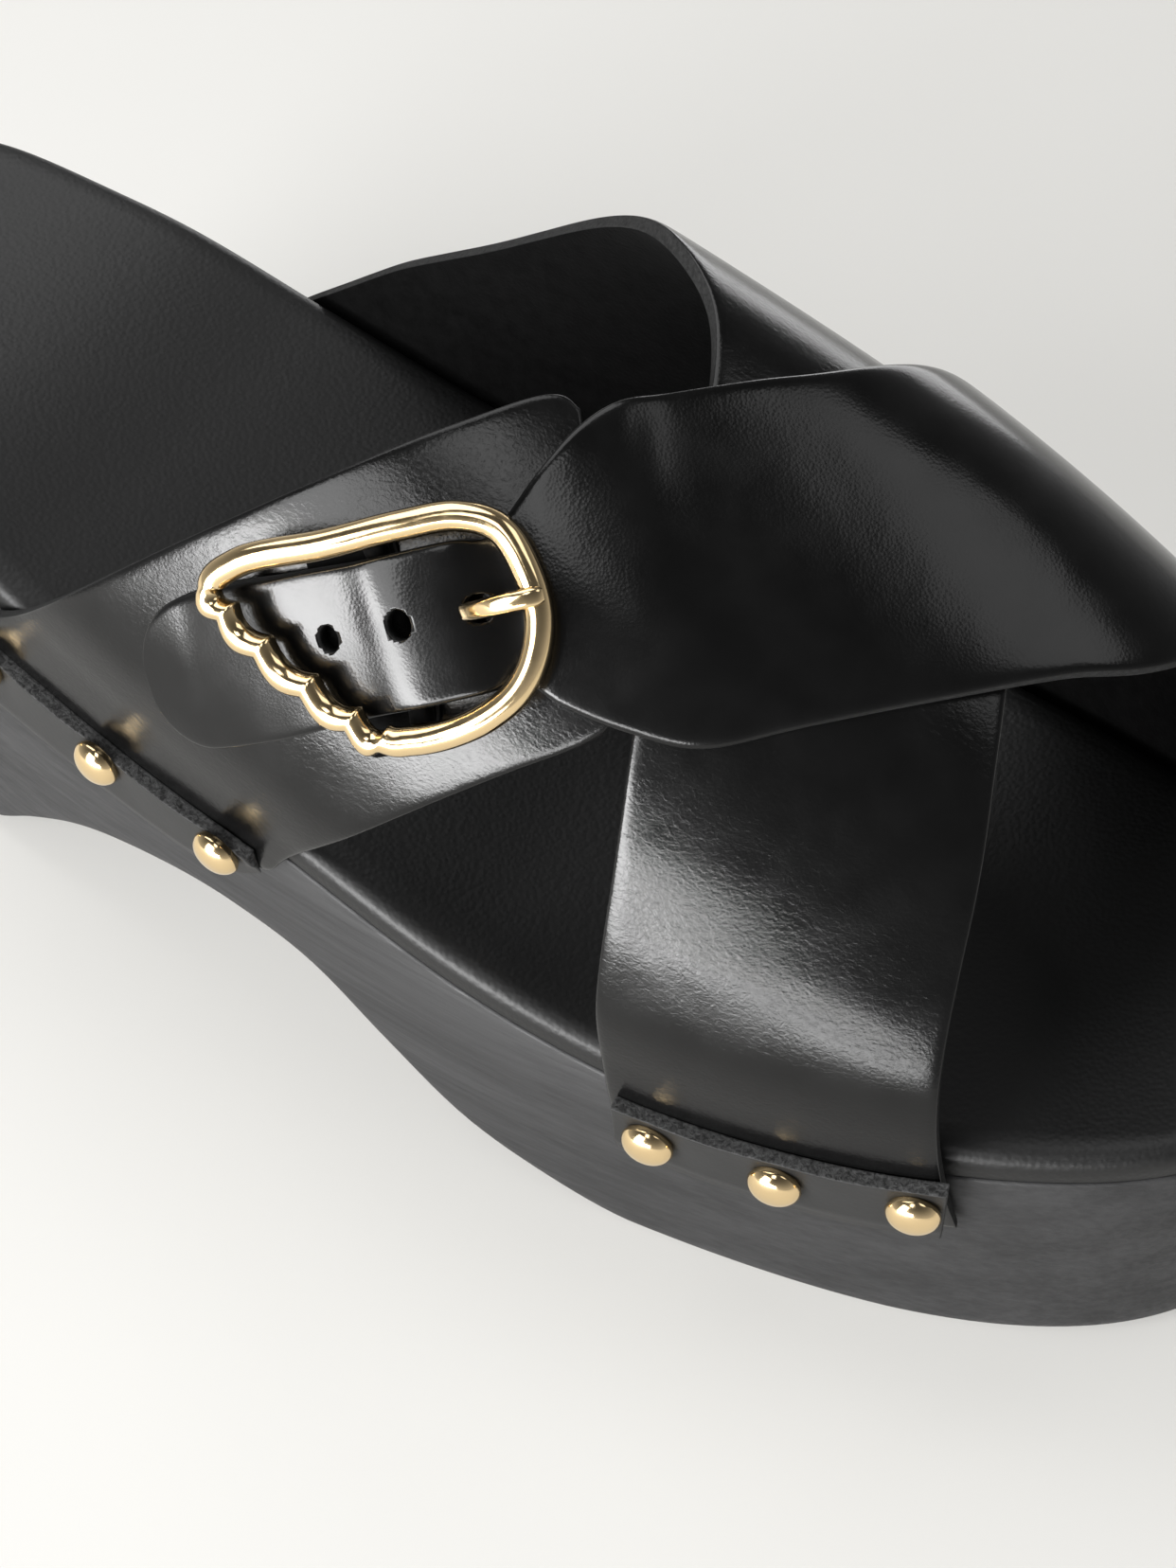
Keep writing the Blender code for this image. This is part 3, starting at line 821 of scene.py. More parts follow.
def sleeve(outer: Array, inner: Array, shares: Row = (0.15, 0.5, 0.85)) -> Form:
    """Closed strip between an outer and an inner face.

    Args:
        outer: grid of points, stations along the strip by columns across it.
        inner: the same grid on its other face.
        shares: where the loops of its cut edge lie between the faces.

    Returns:
        The strip, with the slots of Face.
    """
    stations, columns = outer.shape[:2]
    mix = np.array(shares)[None, :, None]
    front = outer[:, -1:] + (inner[:, -1:] - outer[:, -1:]) * mix
    rear = inner[:, :1] + (outer[:, :1] - inner[:, :1]) * mix
    rings = np.concatenate([outer, front, inner[:, ::-1], rear], axis=1)
    size, walls = rings.shape[1], len(shares)
    faces, slots = [], []
    for j in range(size):
        on_grain, on_flesh = j < columns - 1, columns + walls <= j < 2 * columns + walls - 1
        slot = Face.GRAIN if on_grain else Face.FLESH if on_flesh else Face.EDGE
        n = (j + 1) % size
        for i in range(stations - 1):
            faces.append((i * size + j, i * size + n, (i + 1) * size + n, (i + 1) * size + j))
        slots += [slot.value] * (stations - 1)
    for start in (0, (stations - 1) * size):
        for c in range(columns - 1):
            back = 2 * columns + walls - 1 - c
            ring = [c, c + 1]
            if c == columns - 2:
                ring += range(columns, columns + walls)
            ring += [back - 1, back]
            if c == 0:
                ring += range(2 * columns + walls, size)
            faces.append(tuple(start + k for k in ring))
            slots.append(Face.EDGE.value)
    return Form(rings.reshape(-1, 3), faces, slots)


def across_columns(width: float, step: float = 1.3, lip: Row = (0.35, 1.1)) -> Array:
    """Shares across a strip, closer together at its edges.

    Args:
        width: the strip's width.
        step: usual distance between columns.
        lip: distances of the columns next to an edge.

    Returns:
        Shares from 0 to 1.
    """
    near = np.array(lip) / width
    middle = np.linspace(near[-1], 1 - near[-1], max(4, int(width / step)))
    return np.concatenate([[0.0], near[:-1], middle, 1 - near[-2::-1], [1.0]])


@dataclass(frozen=True)
class Crease:
    """Soft trough in a strap with a ridge on each side, between two places on the last."""

    start: tuple[float, float]
    end: tuple[float, float]
    depth: float
    width: float
    # The ridges: share of the depth, and distance from the trough in widths.
    ridge: float = 0.4
    ridge_away: float = 2.0

    def lift(self, x: Array, s: Array) -> Array:
        """Height that the crease adds.

        Args:
            x: places along the foot.
            s: distances round it.

        Returns:
            The height at each place, below 0 in the trough.
        """
        a, b = np.array(self.start), np.array(self.end)
        run = b - a
        share = np.clip(((x - a[0]) * run[0] + (s - a[1]) * run[1]) / (run @ run), 0, 1)
        away = np.hypot(x - a[0] - run[0] * share, s - a[1] - run[1] * share) / self.width
        fade = np.sqrt(np.clip(4 * share * (1 - share), 0, 1))
        ridge = self.ridge * np.exp(-(away - self.ridge_away) ** 2)
        return -self.depth * fade * (np.exp(-away ** 2) - ridge)


@dataclass
class Strap:
    """Leather strap laid over the last."""

    last: Last
    name: str
    # Rows from end to end: rear edge x and s, front edge x and s, height of the inner face over the last.
    rows: list[list[float]]
    nailed: tuple[Side, ...]
    creases: tuple[Crease, ...] = ()
    # Over a nailed end the leather stands off the last: distance over the rim, height.
    stand_off: Table = (
        (-8.0, 0.5), (0.0, 0.45), (4.0, 0.4), (8.0, 0.5), (13.0, 1.0), (19.0, 1.5), (27.0, 1.1),
        (36.0, 0.35), (46.0, 0.0),
    )
    # Edges pared round on the grain side: drop and reach.
    pare: tuple[float, float] = (0.3, 0.3)
    skived_ends: tuple[int, ...] = (0,)
    leather: float = 2.2
    skived: float = 1.5
    width: float = 38.0
    station: float = 1.3
    reads: int = 60

    def stations(self) -> Array:
        """Rows of the strap, read as densely as its edges turn.

        Returns:
            Rows as in the table, with the thickness of the leather added.
        """
        table = np.asarray(self.rows, float)
        step = np.arange(len(table))
        fine = np.linspace(0, len(table) - 1, self.reads * (len(table) - 1) + 1)
        thick = np.full(len(table), self.leather)
        thick[list(self.skived_ends)] = self.skived
        columns = [ease(step, table[:, k], fine) for k in range(table.shape[1])]
        columns.append(np.clip(ease(step, thick, fine), self.skived, self.leather))
        read = np.array(columns).T
        moved = np.diff(read[:, :4], axis=0)
        pace = np.maximum(np.hypot(moved[:, 0], moved[:, 1]), np.hypot(moved[:, 2], moved[:, 3]))
        way = np.concatenate([[0], np.cumsum(pace)])
        places = np.linspace(0, way[-1], int(way[-1] / self.station) + 1)
        return np.array([np.interp(places, way, read[:, k]) for k in range(read.shape[1])]).T

    def form(self) -> Form:
        """Closed mesh of the strap.

        Returns:
            The strap, with the slots of Face.
        """
        read = self.stations()
        share = across_columns(self.width)
        x = read[:, :1] + (read[:, 2:3] - read[:, :1]) * share
        s = read[:, 1:2] + (read[:, 3:4] - read[:, 1:2]) * share
        low = np.repeat(read[:, 4:5], len(share), axis=1)
        for side in self.nailed:
            low = low + ease(*zip(*self.stand_off), side.value * (self.last.rim(x, side) - s))
        for crease in self.creases:
            low = low + crease.lift(x, s)
        base, normal = self.last.points(x, s), self.last.normals(x, s)
        inner = base + normal * low[..., None]
        to_edge = np.minimum(share, 1 - share) * self.width
        thick = read[:, 5:6] - self.pare[0] * np.exp(-to_edge / self.pare[1])
        return sleeve(inner + normal * thick[..., None], inner)

    def build(self, finishes: Finishes, *nodes: str) -> None:
        """Builds and dresses the strap, for the solids that it replaces."""
        piece = self.form().add(self.name, finishes.strap(finishes.bent), smoothing=1)
        settle(piece, "strap_leather", *nodes)


def strap_feet(last: Last, feet: Row, side: Side, tucks: Row = (8.6, 8.6)) -> list[list[float]]:
    """Two rows of a strap, at the rim and at the nailed end below it.

    Args:
        last: the last.
        feet: rear and front x at the rim, then at the nailed end.
        side: side of the foot.
        tucks: how far the rear and the front corner go down beside the wood.

    Returns:
        The rows, from the rim down.
    """
    rows = []
    for xs, drops in ((feet[:2], (0.0, 0.0)), (feet[2:], tucks)):
        corners = [(x, float(last.rim(x, side)) + side.value * drop) for x, drop in zip(xs, drops)]
        rows.append([*corners[0], *corners[1], 0.0])
    return rows


@dataclass
class BuckleSeat:
    """Place of the buckle on the last: its middle and the run of the tab there."""

    last: Last
    middle: tuple[float, float] = (133.5, -50.0)
    run: tuple[float, float] = (0.76, 0.65)
    tab_shift: float = -1.2

    def place(self, along: Array, across: Array) -> Array:
        """Places on the last, given along and across the tab.

        Args:
            along: distances along the tab, from the middle of the buckle.
            across: distances across it.

        Returns:
            x and s of each place.
        """
        run = np.array(self.run) / np.hypot(*self.run)
        along, across = np.asarray(along, float)[..., None], np.asarray(across, float)[..., None]
        return np.array(self.middle) + along * run + across * np.array((-run[1], run[0]))

    def over(self, along: Array, across: Array, height: Array) -> Array:
        """Points over the last, given along and across the tab."""
        place = self.place(along, across)
        return self.last.over(place[..., 0], place[..., 1], height)

    def up(self) -> Array:
        """Way out of the last at the middle of the buckle."""
        return self.last.normals(np.array([self.middle[0]]), np.array([self.middle[1]]))[0]


@dataclass
class Upper:
    """The two crossing straps: the lower one plain, the upper one narrowing to a holed tab."""

    last: Last
    seat: BuckleSeat
    # Columns: rear edge x and s, front edge x and s.
    lower_rows: Table = (
        (170.7, -79.0, 211.3, -56.0), (168.2, -59.0, 207.0, -35.5), (165.2, -44.0, 202.0, -21.5),
        (159.0, -18.0, 195.5, -6.0), (149.5, 3.0, 186.5, 15.0), (134.0, 17.5, 171.0, 33.0),
        (111.0, 41.0, 150.0, 56.0), (96.0, 55.0, 134.0, 69.0),
    )
    lower_feet: Table = ((172.8, 215.0, 174.0, 217.0), (68.3, 123.0, 63.5, 119.0))
    # Columns as above, then the height of the inner face over the last.
    upper_rows: Table = (
        (178.0, 46.0, 221.0, 24.0, 2.4), (171.5, 20.5, 212.0, 1.0, 4.2), (165.0, 7.0, 203.0, -9.5, 3.6),
        (157.5, -2.0, 193.0, -20.6, 2.3), (151.0, -9.5, 181.5, -32.5, 1.9), (147.0, -14.0, 173.0, -40.6, 2.5),
        (144.8, -19.0, 164.5, -44.0, 2.6), (143.6, -25.0, 157.0, -45.6, 2.6),
    )
    upper_feet: Row = (181.0, 224.0, 182.5, 225.5)
    # Tab through the buckle. Columns: distance from its middle, half width, height over the last.
    tab_rows: Table = (
        (17.0, 7.9, 2.6), (12.5, 7.9, 4.3), (7.0, 7.9, 5.0), (2.5, 7.9, 5.1), (-2.0, 8.0, 4.2),
        (-6.5, 8.2, 3.7), (-12.0, 8.4, 3.5), (-18.0, 8.7, 3.1), (-27.0, 8.7, 2.6),
    )
    tab_round: float = 10.5
    tab_round_rows: int = 7
    tab_round_power: float = 2.4
    # Slant of the tab's rows: its most, where it starts along the tab and how far it takes to grow.
    tab_skew: float = 0.16
    tab_skew_start: float = -6.0
    tab_skew_run: float = 20.0
    # Punched holes. Columns: distance along the tab, across it, length, width.
    holes: Table = ((-6.1, -0.3, 3.0, 3.0), (4.2, -0.4, 3.3, 3.3), (13.9, -0.6, 3.8, 3.0))
    # The punch: points round it, level of its middle over the last, and its reach down and up from there.
    punch_sides: int = 28
    punch_level: float = 6.0
    punch_reach: Row = (-7.0, 8.0)
    lower_stand_off: Table = (
        (-8.0, 0.5), (0.0, 0.5), (4.0, 0.55), (8.0, 0.8), (12.0, 1.35), (16.0, 1.8), (24.0, 1.25),
        (32.0, 0.4), (42.0, 0.0),
    )
    lower_creases: tuple[Crease, ...] = (
        Crease((176.0, -64.0), (186.0, -70.0), 0.04, 1.3), Crease((188.0, -60.0), (206.0, -55.0), 0.05, 1.5),
    )
    upper_pare: tuple[float, float] = (0.45, 0.35)
    upper_creases: tuple[Crease, ...] = (
        Crease((148.0, -13.0), (154.0, -21.0), 0.05, 1.2), Crease((158.0, -43.0), (163.0, -40.0), 0.06, 1.2),
    )

    def tab(self) -> list[list[float]]:
        """Rows of the tab, with its rounded end.

        Returns:
            The rows, as a strap takes them.
        """
        rows = list(self.tab_rows)
        start, half, height = rows[-1]
        for turn in np.linspace(0, np.pi / 2, self.tab_round_rows + 1)[1:]:
            reach = np.sin(turn) ** (2 / self.tab_round_power)
            narrow = max(np.cos(turn), TIP) ** (2 / self.tab_round_power)
            rows.append((start - self.tab_round * reach, half * narrow, height))
        shift, out = self.seat.tab_shift, []
        for a, w, h in rows:
            grown = min(max((self.tab_skew_start - a) / self.tab_skew_run, 0.0), 1.0)
            skew = self.tab_skew * w * grown
            out.append([*self.seat.place(a + skew, shift + w), *self.seat.place(a - skew, shift - w), h])
        return out

    def punch(self, strap: Piece, edge: Material) -> None:
        """Punches the holes of the tab.

        Args:
            strap: the upper strap.
            edge: material of the holes' walls.
        """
        along_ring, across_ring = circle(self.punch_sides).T
        cutters = []
        for along, across, length, width in self.holes:
            straight = np.sign(along_ring.round(6)) * (length - width) / 2
            ring = self.seat.over(along + along_ring * width / 2 + straight, across + across_ring * width / 2,
                                  np.full(self.punch_sides, self.punch_level))
            middle = self.seat.place(along, across)
            normal = self.last.normals(middle[:1], middle[1:])[0]
            cutters.append(tube(np.array([ring + normal * reach for reach in self.punch_reach])))
        cutter = reduce(Form.joined, cutters).add("punch", [edge])
        step = strap.modifiers.new("punch", "BOOLEAN")
        step.operation, step.object, step.material_mode = "DIFFERENCE", cutter, "TRANSFER"
        apply_modifiers(strap)
        bpy.data.objects.remove(cutter)

    def build(self, finishes: Finishes) -> None:
        """Builds and dresses both straps.

        Args:
            finishes: the materials.
        """
        near = strap_feet(self.last, self.lower_feet[0], Side.OUTER)
        far = strap_feet(self.last, self.lower_feet[1], Side.INNER, SideStrap.tucks)
        rows = near[::-1] + [[*row, 0.0] for row in self.lower_rows] + far
        lower = Strap(self.last, "lower_strap", rows, (Side.OUTER, Side.INNER), self.lower_creases,
                      self.lower_stand_off, skived_ends=(0, len(rows) - 1))
        lower.build(finishes, "upper")
        rows = strap_feet(self.last, self.upper_feet, Side.INNER)[::-1]
        rows += [list(row) for row in self.upper_rows] + self.tab()
        upper = Strap(self.last, "top_strap", rows, (Side.INNER, Side.OUTER), self.upper_creases,
                      pare=self.upper_pare)
        piece = upper.form().add(upper.name, finishes.strap(finishes.flat), smoothing=1)
        self.punch(piece, finishes.edge)
        settle(piece, "strap_leather", "upper")


@dataclass
class SideStrap:
    """Short strap that carries the buckle, from the outer rear to its end under the upper strap."""

    last: Last
    rows: Table = (
        (80.0, -84.5, 126.0, -90.3), (101.0, -61.5, 141.5, -71.0), (119.0, -41.8, 153.0, -57.3),
        (132.4, -26.0, 160.5, -48.5), (140.0, -17.0, 162.6, -43.6), (144.0, -16.6, 160.4, -38.0),
    )
    feet: Row = (71.0, 121.5, 65.5, 117.5)
    tucks: Row = (8.6, 2.6)

    def build(self, finishes: Finishes) -> None:
        """Builds and dresses the strap.

        Args:
            finishes: the materials.
        """
        rows = strap_feet(self.last, self.feet, Side.OUTER, self.tucks)[::-1]
        rows += [[*row, 0.0] for row in self.rows]
        Strap(self.last, "side_strap", rows, (Side.OUTER,)).build(finishes, "buckle_strap")


@dataclass
class Platform:
    """Wooden block and the padded leather cover on it."""

    last: Last
    end_flat: float = 0.06
    along: int = 180
    block_columns: int = 9
    cover_columns: int = 25
    wall_steps: int = 8
    # Softened foot of the block: inset and height over the underside.
    foot: Table = ((1.3, 0.0), (0.8, 0.2), (0.45, 0.6), (0.2, 1.3), (0.0, 2.6))
    wall_straight: float = 13.0
    top_bevel: float = 0.5
    heel_rake: float = 4.0
    heel_rake_reach: float = 60.0
    # Rolled edge of the cover: inset from the outline and height over the wood.
    roll: Table = ((0.3, GAP), (0.2, 1.4), (0.25, 2.6), (0.5, 3.4), (1.0, 4.05), (1.8, 4.5), (3.0, 4.8))
    # Hollow across the cover, and how late it fades towards heel and toe.
    dish: float = 1.6
    dish_power: int = 6

    def grid(self, inset: float, columns: int, rake: float = 0.0) -> tuple[Array, Array]:
        """Grid over the plan, drawn in by an inset.

        Args:
            inset: how far the grid is drawn in.
            columns: columns across the foot.
            rake: how far the back of the heel is drawn forwards.

        Returns:
            Points at height 0, and the share across the foot of each, from -1 to 1.
        """
        half = self.last.length / 2
        small = np.arccos(1 - self.end_flat / half)
        full = half - half * np.cos(np.linspace(small, np.pi - small, self.along))
        x = half + (full - half) * (1 - inset / half)
        x = x + rake * np.maximum(0.0, 1 - full / self.heel_rake_reach) ** 2
        outer, inner = self.last.wall(full, Side.OUTER), self.last.wall(full, Side.INNER)
        draw = (inner - outer) / 2 * inset / self.last.half_width
        share = np.linspace(-1, 1, columns)
        y = (outer + draw)[:, None] + (inner - outer - 2 * draw)[:, None] * (share + 1) / 2
        return np.stack([np.repeat(x[:, None], columns, 1), y, np.zeros_like(y)], -1), share

    def stack(self, layers: list[Array]) -> Form:
        """Solid from grids stacked bottom to top: whole faces below and above, a side wall between.

        Args:
            layers: the grids, of one shape.

        Returns:
            The closed mesh.
        """
        rows, columns = layers[0].shape[:2]
        edge = [(0, j) for j in range(columns)] + [(i, columns - 1) for i in range(1, rows)]
        edge += [(rows - 1, j) for j in range(columns - 2, -1, -1)] + [(i, 0) for i in range(rows - 2, 0, -1)]
        points, faces, loops = [], [], []
        for layer in layers:
            start = len(points)
            if layer is layers[0] or layer is layers[-1]:
                points += list(layer.reshape(-1, 3))
                loops.append([start + i * columns + j for i, j in edge])
                for i in range(rows - 1):
                    for j in range(columns - 1):
                        a = start + i * columns + j
                        faces.append((a, a + 1, a + columns + 1, a + columns))
            else:
                points += [layer[i, j] for i, j in edge]
                loops.append(list(range(start, start + len(edge))))
        for low, high in zip(loops, loops[1:]):
            for k in range(len(edge)):
                n = (k + 1) % len(edge)
                faces.append((low[k], low[n], high[n], high[k]))
        return Form(np.array(points), faces, [0] * len(faces))

    def block(self) -> Form:
        """The wooden block: flat heel and forefoot, arch, toe spring and softened edges.

        Returns:
            The closed mesh.
        """
        under, seam, layers = self.last.underside, self.last.seam, []
        for inset, up in self.foot:
            grid, _ = self.grid(inset, self.block_columns, self.heel_rake)
            grid[..., 2] = under(grid[..., 0]) + up
            layers.append(grid)
        foot_inset, foot_up = self.foot[-1]
        for share in np.linspace(0, 1, self.wall_steps)[1:]:
            grid, _ = self.grid(foot_inset * (1 - share), self.block_columns, self.heel_rake * (1 - share))
            low = under(grid[..., 0]) + foot_up
            grid[..., 2] = low + (seam(grid[..., 0]) - self.wall_straight - low) * share
            layers.append(grid)
        bevel = self.top_bevel
        for inset, down in ((0.0, bevel), (bevel / 2, bevel / 5), (bevel, 0.0)):
            grid, _ = self.grid(inset, self.block_columns)
            grid[..., 2] = seam(grid[..., 0]) - down
            layers.append(grid)
        return self.stack(layers)

    def cover(self) -> Form:
        """The padded cover: rolled edge, a little dished across and flat at heel and toe.

        Returns:
            The closed mesh.
        """
        layers = []
        for inset, up in self.roll:
            grid, share = self.grid(inset, self.cover_columns)
            x = grid[..., 0]
            ends = (2 * x / self.last.length - 1) ** self.dish_power
            sunk = self.dish * (1 - share ** 2) * (1 - ends) if inset == self.roll[-1][0] else 0.0
            grid[..., 2] = self.last.seam(x) + up - sunk
            layers.append(grid)
        return self.stack(layers)

    def build(self, finishes: Finishes) -> None:
        """Builds and dresses the block and its cover.

        Args:
            finishes: the materials.
        """
        block = self.block().add("wooden_block", [finishes.wood])
        cover = self.cover().add("insole_cover", [finishes.calf])
        for piece, slot, node in ((block, "stained_wood", "sole"), (cover, "insole_leather", "insole")):
            piece.data.set_sharp_from_angle(angle=CRISP)
            settle(piece, slot, node)


@dataclass
class Rand:
    """Strip over the nailed end of a strap, with its row of dome nails."""

    last: Last
    place: str
    side: Side
    # x of the rear and the front end.
    ends: tuple[float, float]
    # Heights over the seam: top edge at the rear and the front end, then the bottom edge.
    heights: Row
    # How far the bottom edge rises in a curve to the front end, and where it starts along the strip.
    taper: float = 0.0
    taper_start: float = 0.72
    nail_drop: float = 4.4
    thick: float = 2.2
    # Inner face, close to the wood and then clear of the strap's end: offset and height over the seam.
    step: Table = ((0.4, -7.4), (2.2, -6.4))
    lean: float = 0.09
    # Outer face at the bottom edge: offset, and height over that edge.
    foot: Table = ((2.8, 0.0), (3.5, 2.1), (4.2, 3.5))
    bevel: float = 0.2
    rows: int = 16
    # Distance between columns, those next to an edge, and how far the front end is cut back.
    column: float = 1.0
    lip: Row = (0.3, 0.9)
    short: float = 1.7
    nails: int = 3
    nail_margin: float = 0.12
    nail_radius: float = 3.6
    nail_height: float = 2.75
    # The dome: drawn in at its foot, upright up to its rim, and how full it is above.
    nail_neck: float = 0.9
    nail_rim: float = 0.45
    nail_power: float = 0.85
    nail_sides: int = 40
    nail_rings: int = 14
    nail_crisp: float = math.radians(60)
    dimple: float = 0.45
    dimple_reach: float = 4.6

    def profiles(self, share: float) -> tuple[Array, Array]:
        """Inner and outer face of the strip at one place.

        Args:
            share: share of the strip's length.

        Returns:
            Offsets from the wall and heights over the seam, for each face.
        """
        top = self.heights[0] + (self.heights[1] - self.heights[0]) * share
        bottom = self.heights[2] + (self.heights[3] - self.heights[2]) * share
        bottom += self.taper * (max(share - self.taper_start, 0.0) / (1 - self.taper_start)) ** 2
        close, clear = self.step
        lip = clear[0] + self.lean * (top - clear[1])
        ups = np.maximum((bottom, close[1], clear[1], top), bottom)
        inner = np.stack([np.interp(ups, (close[1], clear[1], top), (close[0], clear[0], lip)), ups], -1)
        low = min(1.0, (top - bottom) / (2 * self.foot[-1][1]))
        outer = [(offset, bottom + up * low) for offset, up in self.foot]
        return inner, np.array([*outer, (lip + self.thick, top - self.bevel)])

    def spread(self, profile: Array) -> Array:
        """Even rows along a profile, with one more close to each end.

        Args:
            profile: offsets and heights.

        Returns:
            The rows.
        """
        way = np.concatenate([[0], np.cumsum(np.hypot(*np.diff(profile, axis=0).T))])
        places = across_columns(way[-1], way[-1] / self.rows, self.lip) * way[-1]
        return np.stack([np.interp(places, way, profile[:, k]) for k in (0, 1)], -1)

    def nail_places(self) -> list[tuple[float, float, float, float]]:
        """Places of the nails.

        Returns:
            x, height over the seam, offset of the strip's face and its lean, nail by nail.
        """
        found = []
        for share in np.linspace(self.nail_margin, 1 - self.nail_margin, self.nails):
            x = self.ends[0] + (self.ends[1] - self.ends[0]) * share
            (low_out, low_up), (high_out, high_up) = self.profiles(share)[1][-2:]
            slope = (high_out - low_out) / (high_up - low_up)
            rise = high_up - self.nail_drop
            found.append((x, rise, low_out + slope * (rise - low_up), math.atan(slope)))
        return found

    def strip(self) -> Form:
        """The strip, pressed in a little round each nail.

        Returns:
            The strip, with the slots of Face.
        """
        long = self.ends[1] - self.ends[0]
        shares = across_columns(long, self.column, self.lip) * (1 - self.short / long)
        grids = {0: [], 1: []}
        for share in shares:
            x = self.ends[0] + (self.ends[1] - self.ends[0]) * share
            for k, profile in enumerate(self.profiles(share)):
                rows = self.spread(profile)
                offset, up = rows[:, 0], rows[:, 1]
                if k:
                    for nail_x, rise, _, _ in self.nail_places():
                        away = np.hypot(x - nail_x, up - rise) / self.dimple_reach
                        offset = offset - self.dimple * np.exp(-away ** 2)
                grids[k].append(self.last.beside(np.full(len(up), x), self.side, offset, up))
        return sleeve(np.array(grids[1]), np.array(grids[0]))

    def nail(self, x: float, rise: float, offset: float, lean: float) -> Form:
        """Dome of one nail, square to the strip.

        Args:
            x: place along the foot.
            rise: height over the seam.
            offset: distance of the strip's face from the wall.
            lean: lean of that face.

        Returns:
            The closed dome.
        """
        base, near, far = (self.last.beside(np.array([x]), self.side, np.array([out]), np.array([rise]))[0]
                           for out in (offset - self.dimple / 2, offset, offset + 1.0))
        out, plumb = far - near, np.array((0.0, 0.0, 1.0))
        along = np.array((out[1], -out[0], 0.0))
        outwards = out * math.cos(lean) - plumb * math.sin(lean)
        up = out * math.sin(lean) + plumb * math.cos(lean)
        arms = circle(self.nail_sides) @ np.array((along, up)) * self.nail_radius
        rings = [base + arms * self.nail_neck]
        for turn in np.linspace(0, np.pi / 2, self.nail_rings + 1)[1:]:
            height = self.nail_rim + (self.nail_height + self.dimple / 2 - self.nail_rim) * math.sin(turn)
            rings.append(base + outwards * height + arms * max(math.cos(turn), TIP) ** self.nail_power)
        return tube(np.array(rings))

    def build(self, finishes: Finishes) -> None:
        """Builds and dresses the strip and its nails.

        Args:
            finishes: the materials.
        """
        strip = self.strip().add(f"strip_{self.place}", finishes.strip(), smoothing=1)
        settle(strip, "rand_leather", f"rand_{self.place}")
        for number, place in enumerate(self.nail_places(), 1):
            dome = self.nail(*place).add(f"nail_{self.place}_{number}", [finishes.gold])
            dome.data.set_sharp_from_angle(angle=self.nail_crisp)
            settle(dome, "gold_plate", f"stud_{self.place}_{number}")


